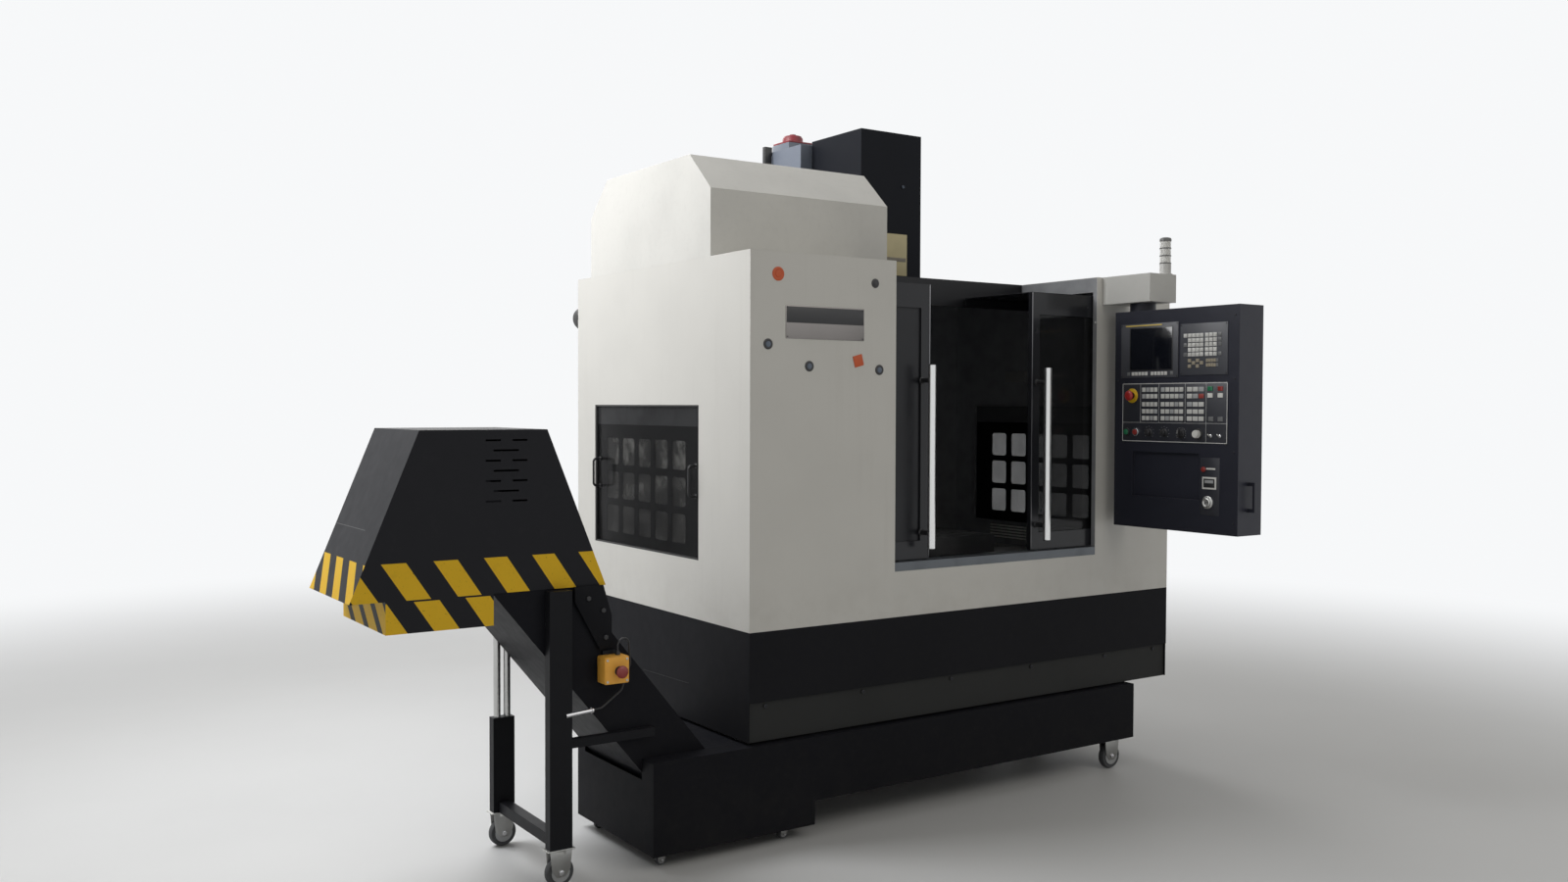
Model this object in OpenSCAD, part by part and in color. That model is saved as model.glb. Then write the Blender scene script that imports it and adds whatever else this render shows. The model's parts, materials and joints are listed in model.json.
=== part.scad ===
// Vertical machining centre with a chip conveyor, millimetres, Z up, front towards -Y.

/* [Enclosure] */
// Width of the sheet metal enclosure
enc_w = 2280; // [2240:10:2400]
// Depth of the enclosure from front to rear
enc_d = 1456; // [1450:2:1500]
// Height of the enclosure roof above the floor
enc_top = 2200; // [2180:5:2300]
// Lower edge of the white panels above the floor
white_z = 800; // [780:5:860]
// Width of the left housing beside the doors
left_w = 677; // [660:1:720]
// Width of the door opening
opening_w = 1127; // [1080:1:1140]
// Thickness of the folded sheet
sheet = 3; // [2:0.5:4]
// Height of the door sill above the floor
sill_z = 1015; // [1000:5:1040]
// Height of the steel sill strip
sill_h = 35; // [25:1:45]

/* [Doors] */
// Distance of the closed doors behind the front face
door_y = 30; // [26:1:40]
// Height of the top of the door roofs
door_top = 2120; // [2080:5:2125]
// Depth of the door roofs
door_roof_d = 426; // [300:2:430]
// How far the left door stands open
left_open = 365; // [300:5:400]
// How far the right door stands open
right_open = 200; // [150:5:215]
// Length of the door handles
handle_l = 729; // [500:1:760]
// Diameter of the door handles
handle_d = 31; // [24:1:36]
// Distance of a handle's axis in front of the door
handle_out = 65; // [50:1:80]

/* [Side windows] */
// Front edge of a side window
win_y0 = 371; // [340:1:420]
// Rear edge of a side window
win_y1 = 1280; // [1200:1:1300]
// Lower edge of a side window
win_z0 = 1030; // [1000:1:1060]
// Upper edge of a side window
win_z1 = 1633; // [1560:1:1660]

/* [Magazine hood] */
// Width of the hood over the tool magazine
hood_w = 853; // [820:1:900]
// Front face of the hood
hood_y0 = 283; // [260:1:300]
// Rear face of the hood
hood_y1 = 1319; // [1310:1:1400]
// Top of the hood above the floor
hood_top = 2610; // [2590:5:2700]
// Depth of the chamfers along the top of the hood
hood_cham_y = 160; // [100:5:200]
// Height of the chamfers
hood_cham_z = 150; // [100:5:180]

/* [Base and column] */
// Lower edge of the dark skirt's sides
skirt_z = 392; // [386:1:400]
// Upper edge of the recessed grey cover plate
plate_z = 540; // [500:5:580]
// Width of the base casting
base_w = 1040; // [1000:10:1080]
// Rear face of the base casting
base_rear = 2250; // [2100:10:2400]
// Height of the underside of the base casting
base_z0 = 90; // [70:5:120]
// Height of the top of the base casting
base_top = 620; // [610:5:625]
// Width of the column
column_w = 620; // [560:10:640]
// Width of the column's foot
foot_w = 1000; // [960:10:1020]
// Front face of the column
column_y = 1430; // [1425:1:1440]
// Height of the column's top
column_top = 2720; // [2600:10:2740]

/* [Axes] */
// Distance of the spindle axis behind the front face
spindle_y = 890; // [885:1:895]
// Height of the spindle nose at the top of its travel
nose_z = 1700; // [1690:1:1720]
// Length of the table
table_l = 1100; // [1060:10:1100]
// Width of the table
table_w = 520; // [480:10:520]
// Height of the table top
table_z = 1020; // [1016:1:1040]
// Number of T-slots in the table
slots = 5; // [3:2:5]
// Pitch of the T-slots
slot_pitch = 100; // [80:5:100]
// Length of the saddle's cross bed
bed_l = 2000; // [1980:10:2000]

/* [Spindle head] */
// Width of the head cover
cover_w = 350; // [340:2:360]
// Front face of the head cover
cover_y = 742; // [735:1:750]
// Top of the head cover above the floor
cover_top = 2890; // [2850:5:2900]
// Width of the rear part of the head
slide_w = 480; // [460:5:490]
// Top of the rear part of the head
slide_top = 2872; // [2820:2:2880]

/* [Tool changer] */
// Radius of the pot circle on the magazine disc
pot_circle = 320; // [315:1:325]
// Number of tool pots
pots = 20; // [16:2:22]
// Diameter of a tool pot
pot_d = 70; // [60:1:76]
// Length of a tool pot in front of its pivot
pot_l = 85; // [80:1:90]

/* [Pendant] */
// Face of the control pendant
pen_x = 1856; // [1850:1:1862]
// Thickness of the pendant
pen_t = 149; // [140:1:150]
// Edge of the pendant beside the housing, as a distance in front of it
pen_gap = 60; // [58:1:66]
// Width of the pendant
pen_w = 644; // [630:1:650]
// Lower edge of the pendant
pen_z0 = 1115; // [1080:1:1130]
// Upper edge of the pendant
pen_z1 = 2043; // [2030:1:2045]

/* [Coolant tank] */
// How far the tank reaches out to the left
tank_left = 403; // [390:1:420]
// Right end of the tank
tank_x1 = 2050; // [2030:5:2100]
// Depth of the tank
tank_d = 613; // [600:1:620]
// Top of the tank above the floor
tank_top = 382; // [376:1:384]

/* [Chip conveyor] */
// Front face of the conveyor's hood
conv_y = 70; // [66:1:80]
// Depth of the hood
conv_d = 470; // [440:2:480]
// Angle of the incline
incline = 50.7; // [50.5:0.1:51]
// Height of the head shaft
shaft_z = 1250; // [1240:1:1260]
// Half the height of the conveyor's casing
case_h = 115; // [113:1:117]
// Lower edge of the hood
chood_z0 = 1010; // [1000:1:1020]
// Upper edge of the hood
chood_z1 = 1550; // [1520:5:1600]

/* [Hidden] */
$fn = 48;
cut = 1;
fit = 0.3;
run = 0.05;
spindle_x = left_w + opening_w / 2;
right_x = left_w + opening_w;
beam_y = door_y + door_roof_d + 14;
beam_t = 30;
beam_h = 100;
band_z = door_top + 15;
rail_w = 45;
rail_h = 40;
y_rail_x = 330;
y_rail_y0 = 330;
x_rail_y = 180;
x_rail_w = 35;
z_rail_x = 215;
z_rail_t = 30;
tunnel_w = 800;
tunnel_h = 180;
foot_h = 280;
taper_h = 350;
bed_z = 860;
bed_h = 60;
bed_w = 460;
x_rail_h = 25;
table_t = 85;
carriage_l = 360;
plate_l = 360;
shaft_x0 = -198;
case_z = 265;
tan_i = tan(incline);
shaft_x = shaft_x0 - (shaft_z - case_z) / tan_i;
case_y0 = conv_y + sheet + fit;
case_y1 = conv_y + conv_d - sheet - fit;
chood_xl0 = -1423;
chood_xr0 = -546;
chood_xl1 = -1200;
chood_xr1 = -762;
pen_y1 = -pen_gap;
pen_y0 = pen_y1 - pen_w;
swivel_x = pen_x + 72;
swivel_y = -150;
motor_y = 1550;
motor_w = 150;
motor_h = 220;
cap_h = 38;
disc_z = nose_z + pot_l + pot_circle;
pot_x = 560;
arm_x = (spindle_x + pot_x) / 2;
arm_r = (spindle_x - pot_x) / 2;
pull_out = 32;
grip_out = 34;
row_x = (chood_xl0 + enc_w + pull_out) / 2;
row_y = (pen_y0 - grip_out + base_rear) / 2;

// A block between two corners, given as ranges along X, Y and Z
module block(x, y, z) {
    translate([x[0], y[0], z[0]])
        cube([x[1] - x[0], y[1] - y[0], z[1] - z[0]]);
}
// A profile drawn as (Y, Z), run along X
module along_x(x) {
    translate([x[0], 0, 0])
        rotate([90, 0, 90])
            linear_extrude(x[1] - x[0])
                children();
}
// A profile drawn as (X, Z), run along Y
module along_y(y) {
    translate([0, y[1], 0])
        rotate([90, 0, 0])
            linear_extrude(y[1] - y[0])
                children();
}
// A round bar along X, Y or Z from a point
module bar_x(p, d, l) {
    translate(p) rotate([0, 90, 0]) cylinder(d = d, h = l);
}
module bar_y(p, d, l) {
    translate(p) rotate([-90, 0, 0]) cylinder(d = d, h = l);
}
module bar_z(p, d, l) {
    translate(p) cylinder(d = d, h = l);
}
// The finished object stands centred over the origin
module placed() {
    translate([-row_x, -row_y, 0]) children();
}

// Base casting with its ways and the fixed front way cover
base_front = 300;
lip_y = 100;
over_z = 430;
step_y = 640;
screw_d = 36;
foot_xs = [spindle_x - base_w / 2 + 80, spindle_x + base_w / 2 - 80];
foot_ys = [720, 1440, base_rear - 90];
pocket_l = 300;
pocket_t = 40;
module base_casting() {
    x0 = spindle_x - base_w / 2;
    x1 = spindle_x + base_w / 2;
    color("dimgray") difference() {
        along_x([x0, x1]) polygon([[lip_y, base_top - 35], [base_front, base_top - 80], [base_front, over_z],
            [step_y, over_z], [step_y, base_z0], [base_rear, base_z0], [base_rear, base_top], [lip_y, base_top]]);
        for (x = foot_xs, y = foot_ys)
            bar_z([x, y, base_z0 - cut], screw_d + 2 * run, 200 + cut);
        for (i = [0:3], side = [0, 1])
            translate([side == 0 ? x0 - cut : x1 - pocket_t, 740 + i * (pocket_l + 80), base_z0 + 110])
                cube([pocket_t + cut, pocket_l, 320]);
    }
    color("silver") for (s = [-1, 1])
        block([spindle_x + s * y_rail_x - rail_w / 2, spindle_x + s * y_rail_x + rail_w / 2],
            [y_rail_y0, column_y - 20], [base_top, base_top + rail_h]);
    color("gainsboro") way_cover_y(0, lip_y, 400);
}

// Telescopic cover over the Y ways: each level nests over the one before
y_cover_z = base_top + 70;
cover_step = sheet + 0.4;
y_cover_w = tunnel_w - 60;
module way_cover_y(level, y0, y1) {
    half = y_cover_w / 2 + level * cover_step;
    top = y_cover_z + sheet + level * cover_step;
    difference() {
        block([spindle_x - half, spindle_x + half], [y0, y1], [base_top + 0.4 * level, top]);
        block([spindle_x - half + sheet, spindle_x + half - sheet], [y0 - cut, y1 + cut],
            [base_top - cut, top - sheet]);
    }
}
module front_way_cover() {
    color("gainsboro") way_cover_y(1, 233, 533);
}

pad_d = 140;
pad_h = 28;
module levelling_feet() {
    color("gray") for (x = foot_xs, y = foot_ys) {
        bar_z([x, y, 0], pad_d, pad_h);
        bar_z([x, y, pad_h], 60, base_z0 - pad_h);
        bar_z([x, y, base_z0], screw_d, 150);
    }
}

// Column: front view and side view intersected, with the tunnel for the rear apron
column_base_y = base_rear - 100;
column_top_y = 1950;
module column_front(grow) {
    hf = foot_w / 2 + grow;
    hc = column_w / 2 + grow;
    polygon([[spindle_x - hf, base_top], [spindle_x + hf, base_top],
        [spindle_x + hf, base_top + foot_h + grow], [spindle_x + hc, base_top + foot_h + taper_h + grow],
        [spindle_x + hc, column_top], [spindle_x - hc, column_top],
        [spindle_x - hc, base_top + foot_h + taper_h + grow], [spindle_x - hf, base_top + foot_h + grow]]);
}
module column() {
    rib = 50;
    color("dimgray") difference() {
        intersection() {
            along_y([column_y, column_base_y]) column_front(0);
            along_x([spindle_x - foot_w, spindle_x + foot_w])
                polygon([[column_y, base_top], [column_base_y, base_top],
                    [column_base_y, base_top + foot_h], [column_top_y, column_top], [column_y, column_top]]);
        }
        block([spindle_x - tunnel_w / 2, spindle_x + tunnel_w / 2], [column_y - cut, column_base_y - rib],
            [base_top - cut, base_top + tunnel_h]);
        for (i = [0:2], s = [-1, 1])
            block(s < 0 ? [spindle_x - column_w / 2 - cut, spindle_x - column_w / 2 + rib]
                    : [spindle_x + column_w / 2 - rib, spindle_x + column_w / 2 + cut],
                [column_y + 120, column_top_y - 90],
                [1330 + i * 450, 1330 + i * 450 + 370]);
    }
    color("silver") for (s = [-1, 1])
        block([spindle_x + s * z_rail_x - rail_w / 2, spindle_x + s * z_rail_x + rail_w / 2],
            [column_y - z_rail_t, column_y], [1120, column_top - 20]);
}

// Coolant tank: a stepped box with a channel for the conveyor
tank_z0 = 50;
tank_step_x = 287;
tank_step_z = 140;
tank_wall = 4;
tank_y0 = -13;
module coolant_tank() {
    y1 = tank_y0 + tank_d;
    color([0.16, 0.16, 0.18]) difference() {
        along_y([tank_y0, y1]) polygon([[-tank_left, tank_z0], [tank_step_x, tank_z0],
            [tank_step_x, tank_step_z], [tank_x1, tank_step_z], [tank_x1, tank_top], [-tank_left, tank_top]]);
        along_y([tank_y0 + tank_wall, y1 - tank_wall]) polygon([[-tank_left + tank_wall, tank_z0 + tank_wall],
            [tank_step_x - tank_wall, tank_z0 + tank_wall], [tank_step_x - tank_wall, tank_step_z + tank_wall],
            [tank_x1 - tank_wall, tank_step_z + tank_wall], [tank_x1 - tank_wall, tank_top - tank_wall],
            [-tank_left + tank_wall, tank_top - tank_wall]]);
        block([-tank_left + tank_wall, case_end + 2], [case_y0 - fit, case_y1 + fit],
            [tank_top - tank_wall - cut, tank_top + cut]);
        block([-tank_left - cut, -tank_left + tank_wall + cut], [case_y0 - fit, case_y1 + fit],
            [tank_top - 75, tank_top + cut]);
    }
    // Stop pads bear against the base casting when the tank is pushed in
    color([0.16, 0.16, 0.18]) for (x = [820, 1600])
        block([x, x + 60], [y1 - cut, step_y - fit], [200, 260]);
    // Cross bearers carry the conveyor's trough
    color([0.16, 0.16, 0.18]) for (x = [0, 700, 1400, tank_x1 - 200])
        block([x, x + 40], [tank_y0 + tank_wall, y1 - tank_wall],
            [x < tank_step_x - 60 ? tank_z0 + tank_wall : tank_step_z + tank_wall, case_z - case_h - 0.2]);
}

// Fixed casters: low ones under the tank's left end, tall ones elsewhere
module caster(x, y, wheel_d, top) {
    wheel_w = wheel_d > 60 ? 32 : 20;
    plate = 4;
    cheek = 3;
    color("silver") {
        block([x - wheel_d * 0.5, x + wheel_d * 0.5], [y - wheel_w / 2 - 10, y + wheel_w / 2 + 10], [top - plate, top]);
        for (s = [-1, 1])
            along_y(s < 0 ? [y - wheel_w / 2 - 1 - cheek, y - wheel_w / 2 - 1] : [y + wheel_w / 2 + 1, y + wheel_w / 2 + 1 + cheek])
                polygon([[x - wheel_d * 0.4, top - plate], [x + wheel_d * 0.4, top - plate],
                    [x + wheel_d * 0.15, wheel_d * 0.38], [x - wheel_d * 0.15, wheel_d * 0.38]]);
    }
    color("dimgray") difference() {
        bar_y([x, y - wheel_w / 2, wheel_d / 2], wheel_d, wheel_w);
        bar_y([x, y - wheel_w / 2 - cut, wheel_d / 2], wheel_d * 0.2, wheel_w + 2 * cut);
    }
    color("silver") bar_y([x, y - wheel_w / 2 - 1 - cheek, wheel_d / 2], wheel_d * 0.2, wheel_w + 2 + 2 * cheek);
}
leg_x0 = -771;
leg_x1 = -689;
leg_t = 40;
leg_z0 = 130;
module casters() {
    for (x = [-tank_left + 60, 180], y = [50, tank_y0 + tank_d - 60]) caster(x, y, 40, tank_z0);
    for (y = [50, tank_y0 + tank_d - 60]) caster(tank_x1 - 90, y, 110, tank_step_z);
    for (y = [case_y0 - fit - leg_t / 2, case_y1 + fit + leg_t / 2]) caster((leg_x0 + leg_x1) / 2, y, 100, leg_z0);
}

// Dark skirt round the lower part of the enclosure
module skirt_panels() {
    color([0.13, 0.13, 0.15]) {
        block([0, enc_w], [0, sheet], [plate_z, white_z]);
        block([sheet, enc_w - sheet], [sheet, sheet + 8], [plate_z, plate_z + sheet]);
        for (x = [[0, sheet], [enc_w - sheet, enc_w]]) block(x, [sheet, enc_d], [skirt_z, white_z]);
        difference() {
            block([sheet, enc_w - sheet], [enc_d - sheet, enc_d], [skirt_z, white_z]);
            block([spindle_x - base_w / 2 - fit, spindle_x + base_w / 2 + fit], [enc_d - sheet - cut, enc_d + cut],
                [skirt_z - cut, white_z + cut]);
        }
    }
}
module base_cover_plate() {
    screw_hole = 9;
    chip_pans();
    color("gray") difference() {
        block([sheet, enc_w - sheet], [sheet + 8, sheet + 11], [skirt_z, plate_z + 10]);
        for (x = [75, 528, 980, 1430, 1880, 2200])
            bar_y([x, sheet + 8 - cut, plate_z - 18], screw_hole, 3 + 2 * cut);
    }
}
// Sloping chip pans lead to the trough on both sides of the base
module chip_pans() {
    rear_z = 600;
    front_z = 440;
    pan_y0 = case_y1 + 20;
    color("gray") for (x = [[sheet + fit, spindle_x - base_w / 2 - fit], [spindle_x + base_w / 2 + fit, enc_w - sheet - fit]])
        along_x(x) polygon([[pan_y0, front_z], [enc_d - sheet - fit, rear_z], [enc_d - sheet - fit, rear_z + sheet],
            [pan_y0, front_z + sheet]]);
}

// Sheet metal housing beside the doors: open below and towards the work space
flange = 26;
module window_wall(x, inward) {
    difference() {
        block(inward > 0 ? [x, x + flange] : [x - flange, x], [win_y0 - sheet, win_y1 + sheet], [win_z0 - sheet, win_z1 + sheet]);
        block([x - flange - cut, x + flange + cut], [win_y0, win_y1], [win_z0, win_z1]);
    }
}
module left_housing() {
    color([0.86, 0.86, 0.84]) {
        difference() {
            block([0, left_w], [0, enc_d], [white_z, enc_top]);
            block([sheet, left_w + cut], [sheet, enc_d - sheet], [white_z - cut, enc_top - sheet]);
            block([-cut, sheet + cut], [win_y0 - sheet / 2, win_y1 + sheet / 2], [win_z0 - sheet / 2, win_z1 + sheet / 2]);
            block([40, left_w + cut], [hood_y0 + 30, hood_y1 - 30], [enc_top - sheet - cut, enc_top + cut]);
        }
        block([left_w - sheet, left_w], [sheet, door_y - 6], [white_z, enc_top - sheet]);
        block([left_w - sheet, left_w], [door_y - 6, beam_y], [band_z, enc_top - sheet]);
        window_wall(0, 1);
    }
}
module right_housing() {
    color([0.86, 0.86, 0.84]) {
        difference() {
            block([right_x, enc_w], [0, enc_d], [white_z, enc_top]);
            block([right_x - cut, enc_w - sheet], [sheet, enc_d - sheet], [white_z - cut, enc_top - sheet]);
            block([enc_w - sheet - cut, enc_w + cut], [win_y0 - sheet / 2, win_y1 + sheet / 2],
                [win_z0 - sheet / 2, win_z1 + sheet / 2]);
        }
        block([right_x, right_x + sheet], [sheet, door_y - 6], [white_z, enc_top - sheet]);
        block([right_x, right_x + sheet], [door_y - 6, beam_y], [band_z, enc_top - sheet]);
        window_wall(enc_w, -1);
    }
}
module lower_front_panel() {
    color([0.86, 0.86, 0.84]) {
        block([left_w, right_x], [0, sheet], [white_z, sill_z - sill_h]);
        block([left_w + fit, right_x - fit], [sheet, 60], [white_z, white_z + sheet]);
    }
}
// Folded steel sill with the lower door track
module door_sill() {
    color("silver") difference() {
        block([left_w + fit, right_x - fit], [0, door_y + 34], [sill_z - sill_h, sill_z]);
        block([left_w - cut, right_x + cut], [sheet, door_y + 34 - sheet], [sill_z - sill_h - cut, sill_z - sheet]);
        for (y = [door_y - 4, door_y + 12])
            block([left_w + 40, right_x - 40], [y, y + 3], [sill_z - sheet - cut, sill_z + cut]);
    }
}
// Dark cross beam: the doors hang from its front
module guide_beam() {
    color([0.12, 0.12, 0.14]) difference() {
        block([left_w, right_x], [beam_y, beam_y + beam_t], [enc_top - beam_h, enc_top]);
        block([left_w + sheet, right_x - sheet], [beam_y + sheet, beam_y + beam_t + cut],
            [enc_top - beam_h + sheet, enc_top - sheet]);
    }
    // The rail for the door rollers runs on behind both housings
    color("silver") block([60, enc_w - 60], [beam_y, beam_y + 8], [2080, band_z]);
}
head_gap = 14;
module rear_enclosure() {
    color([0.12, 0.12, 0.14]) {
        difference() {
            block([left_w, right_x], [beam_y + beam_t, enc_d], [enc_top - sheet, enc_top]);
            block([spindle_x - slide_w / 2 - head_gap, spindle_x + slide_w / 2 + head_gap], [cover_y - 40, enc_d + cut],
                [enc_top - sheet - cut, enc_top + cut]);
            block([spindle_x - column_w / 2 - head_gap, spindle_x + column_w / 2 + head_gap],
                [column_y - 60, enc_d + cut], [enc_top - sheet - cut, enc_top + cut]);
        }
        difference() {
            block([left_w, right_x], [enc_d - sheet, enc_d], [white_z, enc_top - sheet]);
            along_y([enc_d - 2 * sheet, enc_d + cut]) column_front(0.6);
        }
    }
}
// Hood over the magazine: an eight-sided sheet box, open below
module hood_profile(t) {
    c = t * 0.4;
    polygon([[hood_y0 + t, enc_top - (t > 0 ? cut : 0)], [hood_y1 - t, enc_top - (t > 0 ? cut : 0)],
        [hood_y1 - t, hood_top - hood_cham_z - c], [hood_y1 - hood_cham_y - c, hood_top - t],
        [hood_y0 + hood_cham_y + c, hood_top - t], [hood_y0 + t, hood_top - hood_cham_z - c]]);
}
module magazine_hood() {
    color([0.88, 0.88, 0.86]) difference() {
        along_x([0, hood_w]) hood_profile(0);
        along_x([sheet, hood_w - sheet]) hood_profile(sheet);
    }
}

pane_t = 4;
pane_in = 6;
guard_bar = 47;
module pull(x, out, y, z, l) {
    grip = 10;
    block(out < 0 ? [x - 38, x - 28] : [x + 28, x + 38], [y, y + grip], [z, z + l]);
    for (h = [z, z + l - grip])
        block(out < 0 ? [x - 28, x] : [x, x + 28], [y, y + grip], [h, h + grip]);
}
module window_panes() {
    for (s = [0, 1]) {
        x = s == 0 ? pane_in : enc_w - pane_in - pane_t;
        face = s == 0 ? x : x + pane_t;
        color([0.2, 0.2, 0.22, 0.5])
            block([x, x + pane_t], [win_y0 + fit, win_y1 - fit], [win_z0 + fit, win_z1 - fit]);
        color("black") for (y = [win_y0 + 16, win_y1 - 26]) pull(face, s == 0 ? -1 : 1, y, 1250, 130);
    }
}
module window_guards() {
    cols = 5;
    rows = 3;
    dy = (win_y1 - win_y0) / cols;
    dz = (win_z1 - win_z0) / rows;
    for (s = [0, 1]) {
        x = s == 0 ? pane_in + pane_t + fit : enc_w - pane_in - pane_t - fit - 6;
        color([0.2, 0.2, 0.22]) difference() {
            block([x, x + 6], [win_y0 + fit, win_y1 - fit], [win_z0 + fit, win_z1 - fit]);
            for (i = [0:cols - 1], j = [0:rows - 1])
                block([x - cut, x + 6 + cut], [win_y0 + dy * i + 40, win_y0 + dy * (i + 1) - 40],
                    [win_z0 + dz * j + guard_bar, win_z0 + dz * (j + 1) - guard_bar]);
        }
    }
}

// A door: framed sheet with a roof that reaches back to the guide beam
door_w = opening_w / 2;
door_t = 22;
door_z0 = sill_z + 3;
stile = 46;
rail_top = 96;
rail_low = 74;
module door(x0, handle_x) {
    x1 = x0 + door_w;
    y0 = door_y;
    color([0.14, 0.14, 0.16]) {
        difference() {
            block([x0, x1], [y0, y0 + door_t], [door_z0, door_top]);
            block([x0 + stile, x1 - stile], [y0 - cut, y0 + door_t + cut],
                [door_z0 + rail_low, door_top - rail_top]);
            block([x0 + stile - 12, x1 - stile + 12], [y0 + 8, y0 + 8 + 6],
                [door_z0 + rail_low - 12, door_top - rail_top + 12]);
            for (z = handle_zs) bar_y([handle_x, y0 - cut, z], 8 + 2 * run, 8 + cut);
        }
        block([x0, x1], [y0 + door_t, y0 + door_roof_d], [door_top - sheet, door_top]);
        block([x0, x1], [y0 + door_roof_d - sheet, y0 + door_roof_d], [door_top - 33, door_top - sheet]);
    }
    // Rollers on the beam carry the roof's rear edge
    color("silver") for (x = [x0 + 60, x1 - 60])
        bar_y([x, y0 + door_roof_d, door_top - 16], 26, beam_y - y0 - door_roof_d - fit);
}
module door_glass(x0) {
    gap = 12 - fit;
    color([0.15, 0.15, 0.18, 0.6])
        block([x0 + stile - gap, x0 + door_w - stile + gap], [door_y + 8 + fit, door_y + 14 - fit],
            [door_z0 + rail_low - gap, door_top - rail_top + gap]);
}
handle_z0 = 1066;
handle_zs = [handle_z0 + 60, handle_z0 + handle_l - 60];
module door_handle(x) {
    color("silver") {
        bar_z([x, door_y - handle_out, handle_z0], handle_d, handle_l);
        for (z = handle_zs) {
            bar_y([x, door_y - handle_out, z], 14, handle_out - fit);
            bar_y([x, door_y - handle_out, z], 8, handle_out + 7.5);
        }
    }
}
left_door_x = left_w + door_w - left_open - door_w;
right_door_x = spindle_x + right_open;
left_handle_x = left_door_x + door_w - 42;
right_handle_x = right_door_x + 31;
module left_door() door(left_door_x, left_handle_x);
module left_door_glass() door_glass(left_door_x);
module left_door_handle() door_handle(left_handle_x);
module right_door() door(right_door_x, right_handle_x);
module right_door_glass() door_glass(right_door_x);
module right_door_handle() door_handle(right_handle_x);

// Saddle: slides on the Y ways and carries the long cross bed
saddle_l = 860;
module saddle() {
    y0 = spindle_y - bed_w / 2;
    y1 = spindle_y + bed_w / 2;
    color([0.35, 0.36, 0.38]) {
        difference() {
            block([spindle_x - saddle_l / 2, spindle_x + saddle_l / 2], [y0, y1], [base_top + 4, bed_z - bed_h]);
            for (s = [-1, 1])
                block([spindle_x + s * y_rail_x - rail_w / 2 - fit, spindle_x + s * y_rail_x + rail_w / 2 + fit],
                    [y0 - cut, y1 + cut], [base_top, base_top + rail_h + fit]);
        }
        block([spindle_x - bed_l / 2, spindle_x + bed_l / 2], [y0, y1], [bed_z - bed_h, bed_z]);
    }
    color("silver") for (s = [-1, 1])
        block([spindle_x - bed_l / 2 + 20, spindle_x + bed_l / 2 - 20],
            [spindle_y + s * x_rail_y - x_rail_w / 2, spindle_y + s * x_rail_y + x_rail_w / 2], [bed_z, bed_z + x_rail_h]);
    color("gainsboro") {
        way_cover_y(2, y0 - 290, y0);
        way_cover_y(2, y1, y1 + 570);
        for (s = [-1, 1]) {
            end = spindle_x + s * bed_l / 2;
            way_cover_x(0, s < 0 ? end : end - plate_l);
            block(s < 0 ? [end - sheet, end] : [end, end + sheet], [y0, y1], [bed_z - bed_h, x_cover_z]);
        }
    }
}

// Telescopic covers over the X ways, a shallow roof section
x_cover_z = bed_z + 52;
x_cover_w = bed_w + 12;
roof_drop = 10;
module way_cover_x(level, x0) {
    half = x_cover_w / 2 + level * cover_step;
    top = x_cover_z + level * cover_step;
    along_x([x0, x0 + plate_l]) translate([spindle_y, 0]) polygon([[-half, bed_z + 4], [-half, top - roof_drop],
        [0, top], [half, top - roof_drop], [half, bed_z + 4], [half - sheet, bed_z + 4],
        [half - sheet, top - roof_drop - sheet], [0, top - sheet], [-half + sheet, top - roof_drop - sheet],
        [-half + sheet, bed_z + 4]]);
}
// At rest the table stands in the middle of its travel, and so do the covers
x_travel = 450;
module cover_plate_x(side, level) {
    third = 2 * x_travel / 3;
    end = side < 0 ? spindle_x - bed_l / 2 : spindle_x + bed_l / 2 - plate_l;
    color("gainsboro") way_cover_x(level, end - side * third * level / 2);
}
module left_way_cover_1() cover_plate_x(-1, 1);
module left_way_cover_2() cover_plate_x(-1, 2);
module right_way_cover_1() cover_plate_x(1, 1);
module right_way_cover_2() cover_plate_x(1, 2);

// Table with T-slots on its carriage
slot_w = 18;
slot_h = 20;
tee_w = 30;
tee_h = 14;
slot_floor = table_z - slot_h - tee_h;
module table() {
    y0 = spindle_y - table_w / 2;
    color([0.45, 0.46, 0.48]) {
        block([spindle_x - table_l / 2, spindle_x + table_l / 2], [y0, y0 + table_w], [table_z - table_t, slot_floor]);
        block([spindle_x - carriage_l / 2, spindle_x + carriage_l / 2], [spindle_y - bed_w / 2 + 10, spindle_y + bed_w / 2 - 10],
            [bed_z + x_rail_h + fit, table_z - table_t]);
    }
}
// Strips between the T-slots
module table_top() {
    x0 = spindle_x - table_l / 2;
    x1 = spindle_x + table_l / 2;
    y0 = spindle_y - table_w / 2;
    color([0.45, 0.46, 0.48]) difference() {
        block([x0, x1], [y0, y0 + table_w], [slot_floor, table_z]);
        for (i = [0:slots - 1]) {
            y = spindle_y + (i - (slots - 1) / 2) * slot_pitch;
            block([x0 - cut, x1 + cut], [y - slot_w / 2, y + slot_w / 2], [table_z - slot_h - cut, table_z + cut]);
            block([x0 - cut, x1 + cut], [y - tee_w / 2, y + tee_w / 2], [slot_floor - cut, table_z - slot_h]);
        }
    }
}

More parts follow.
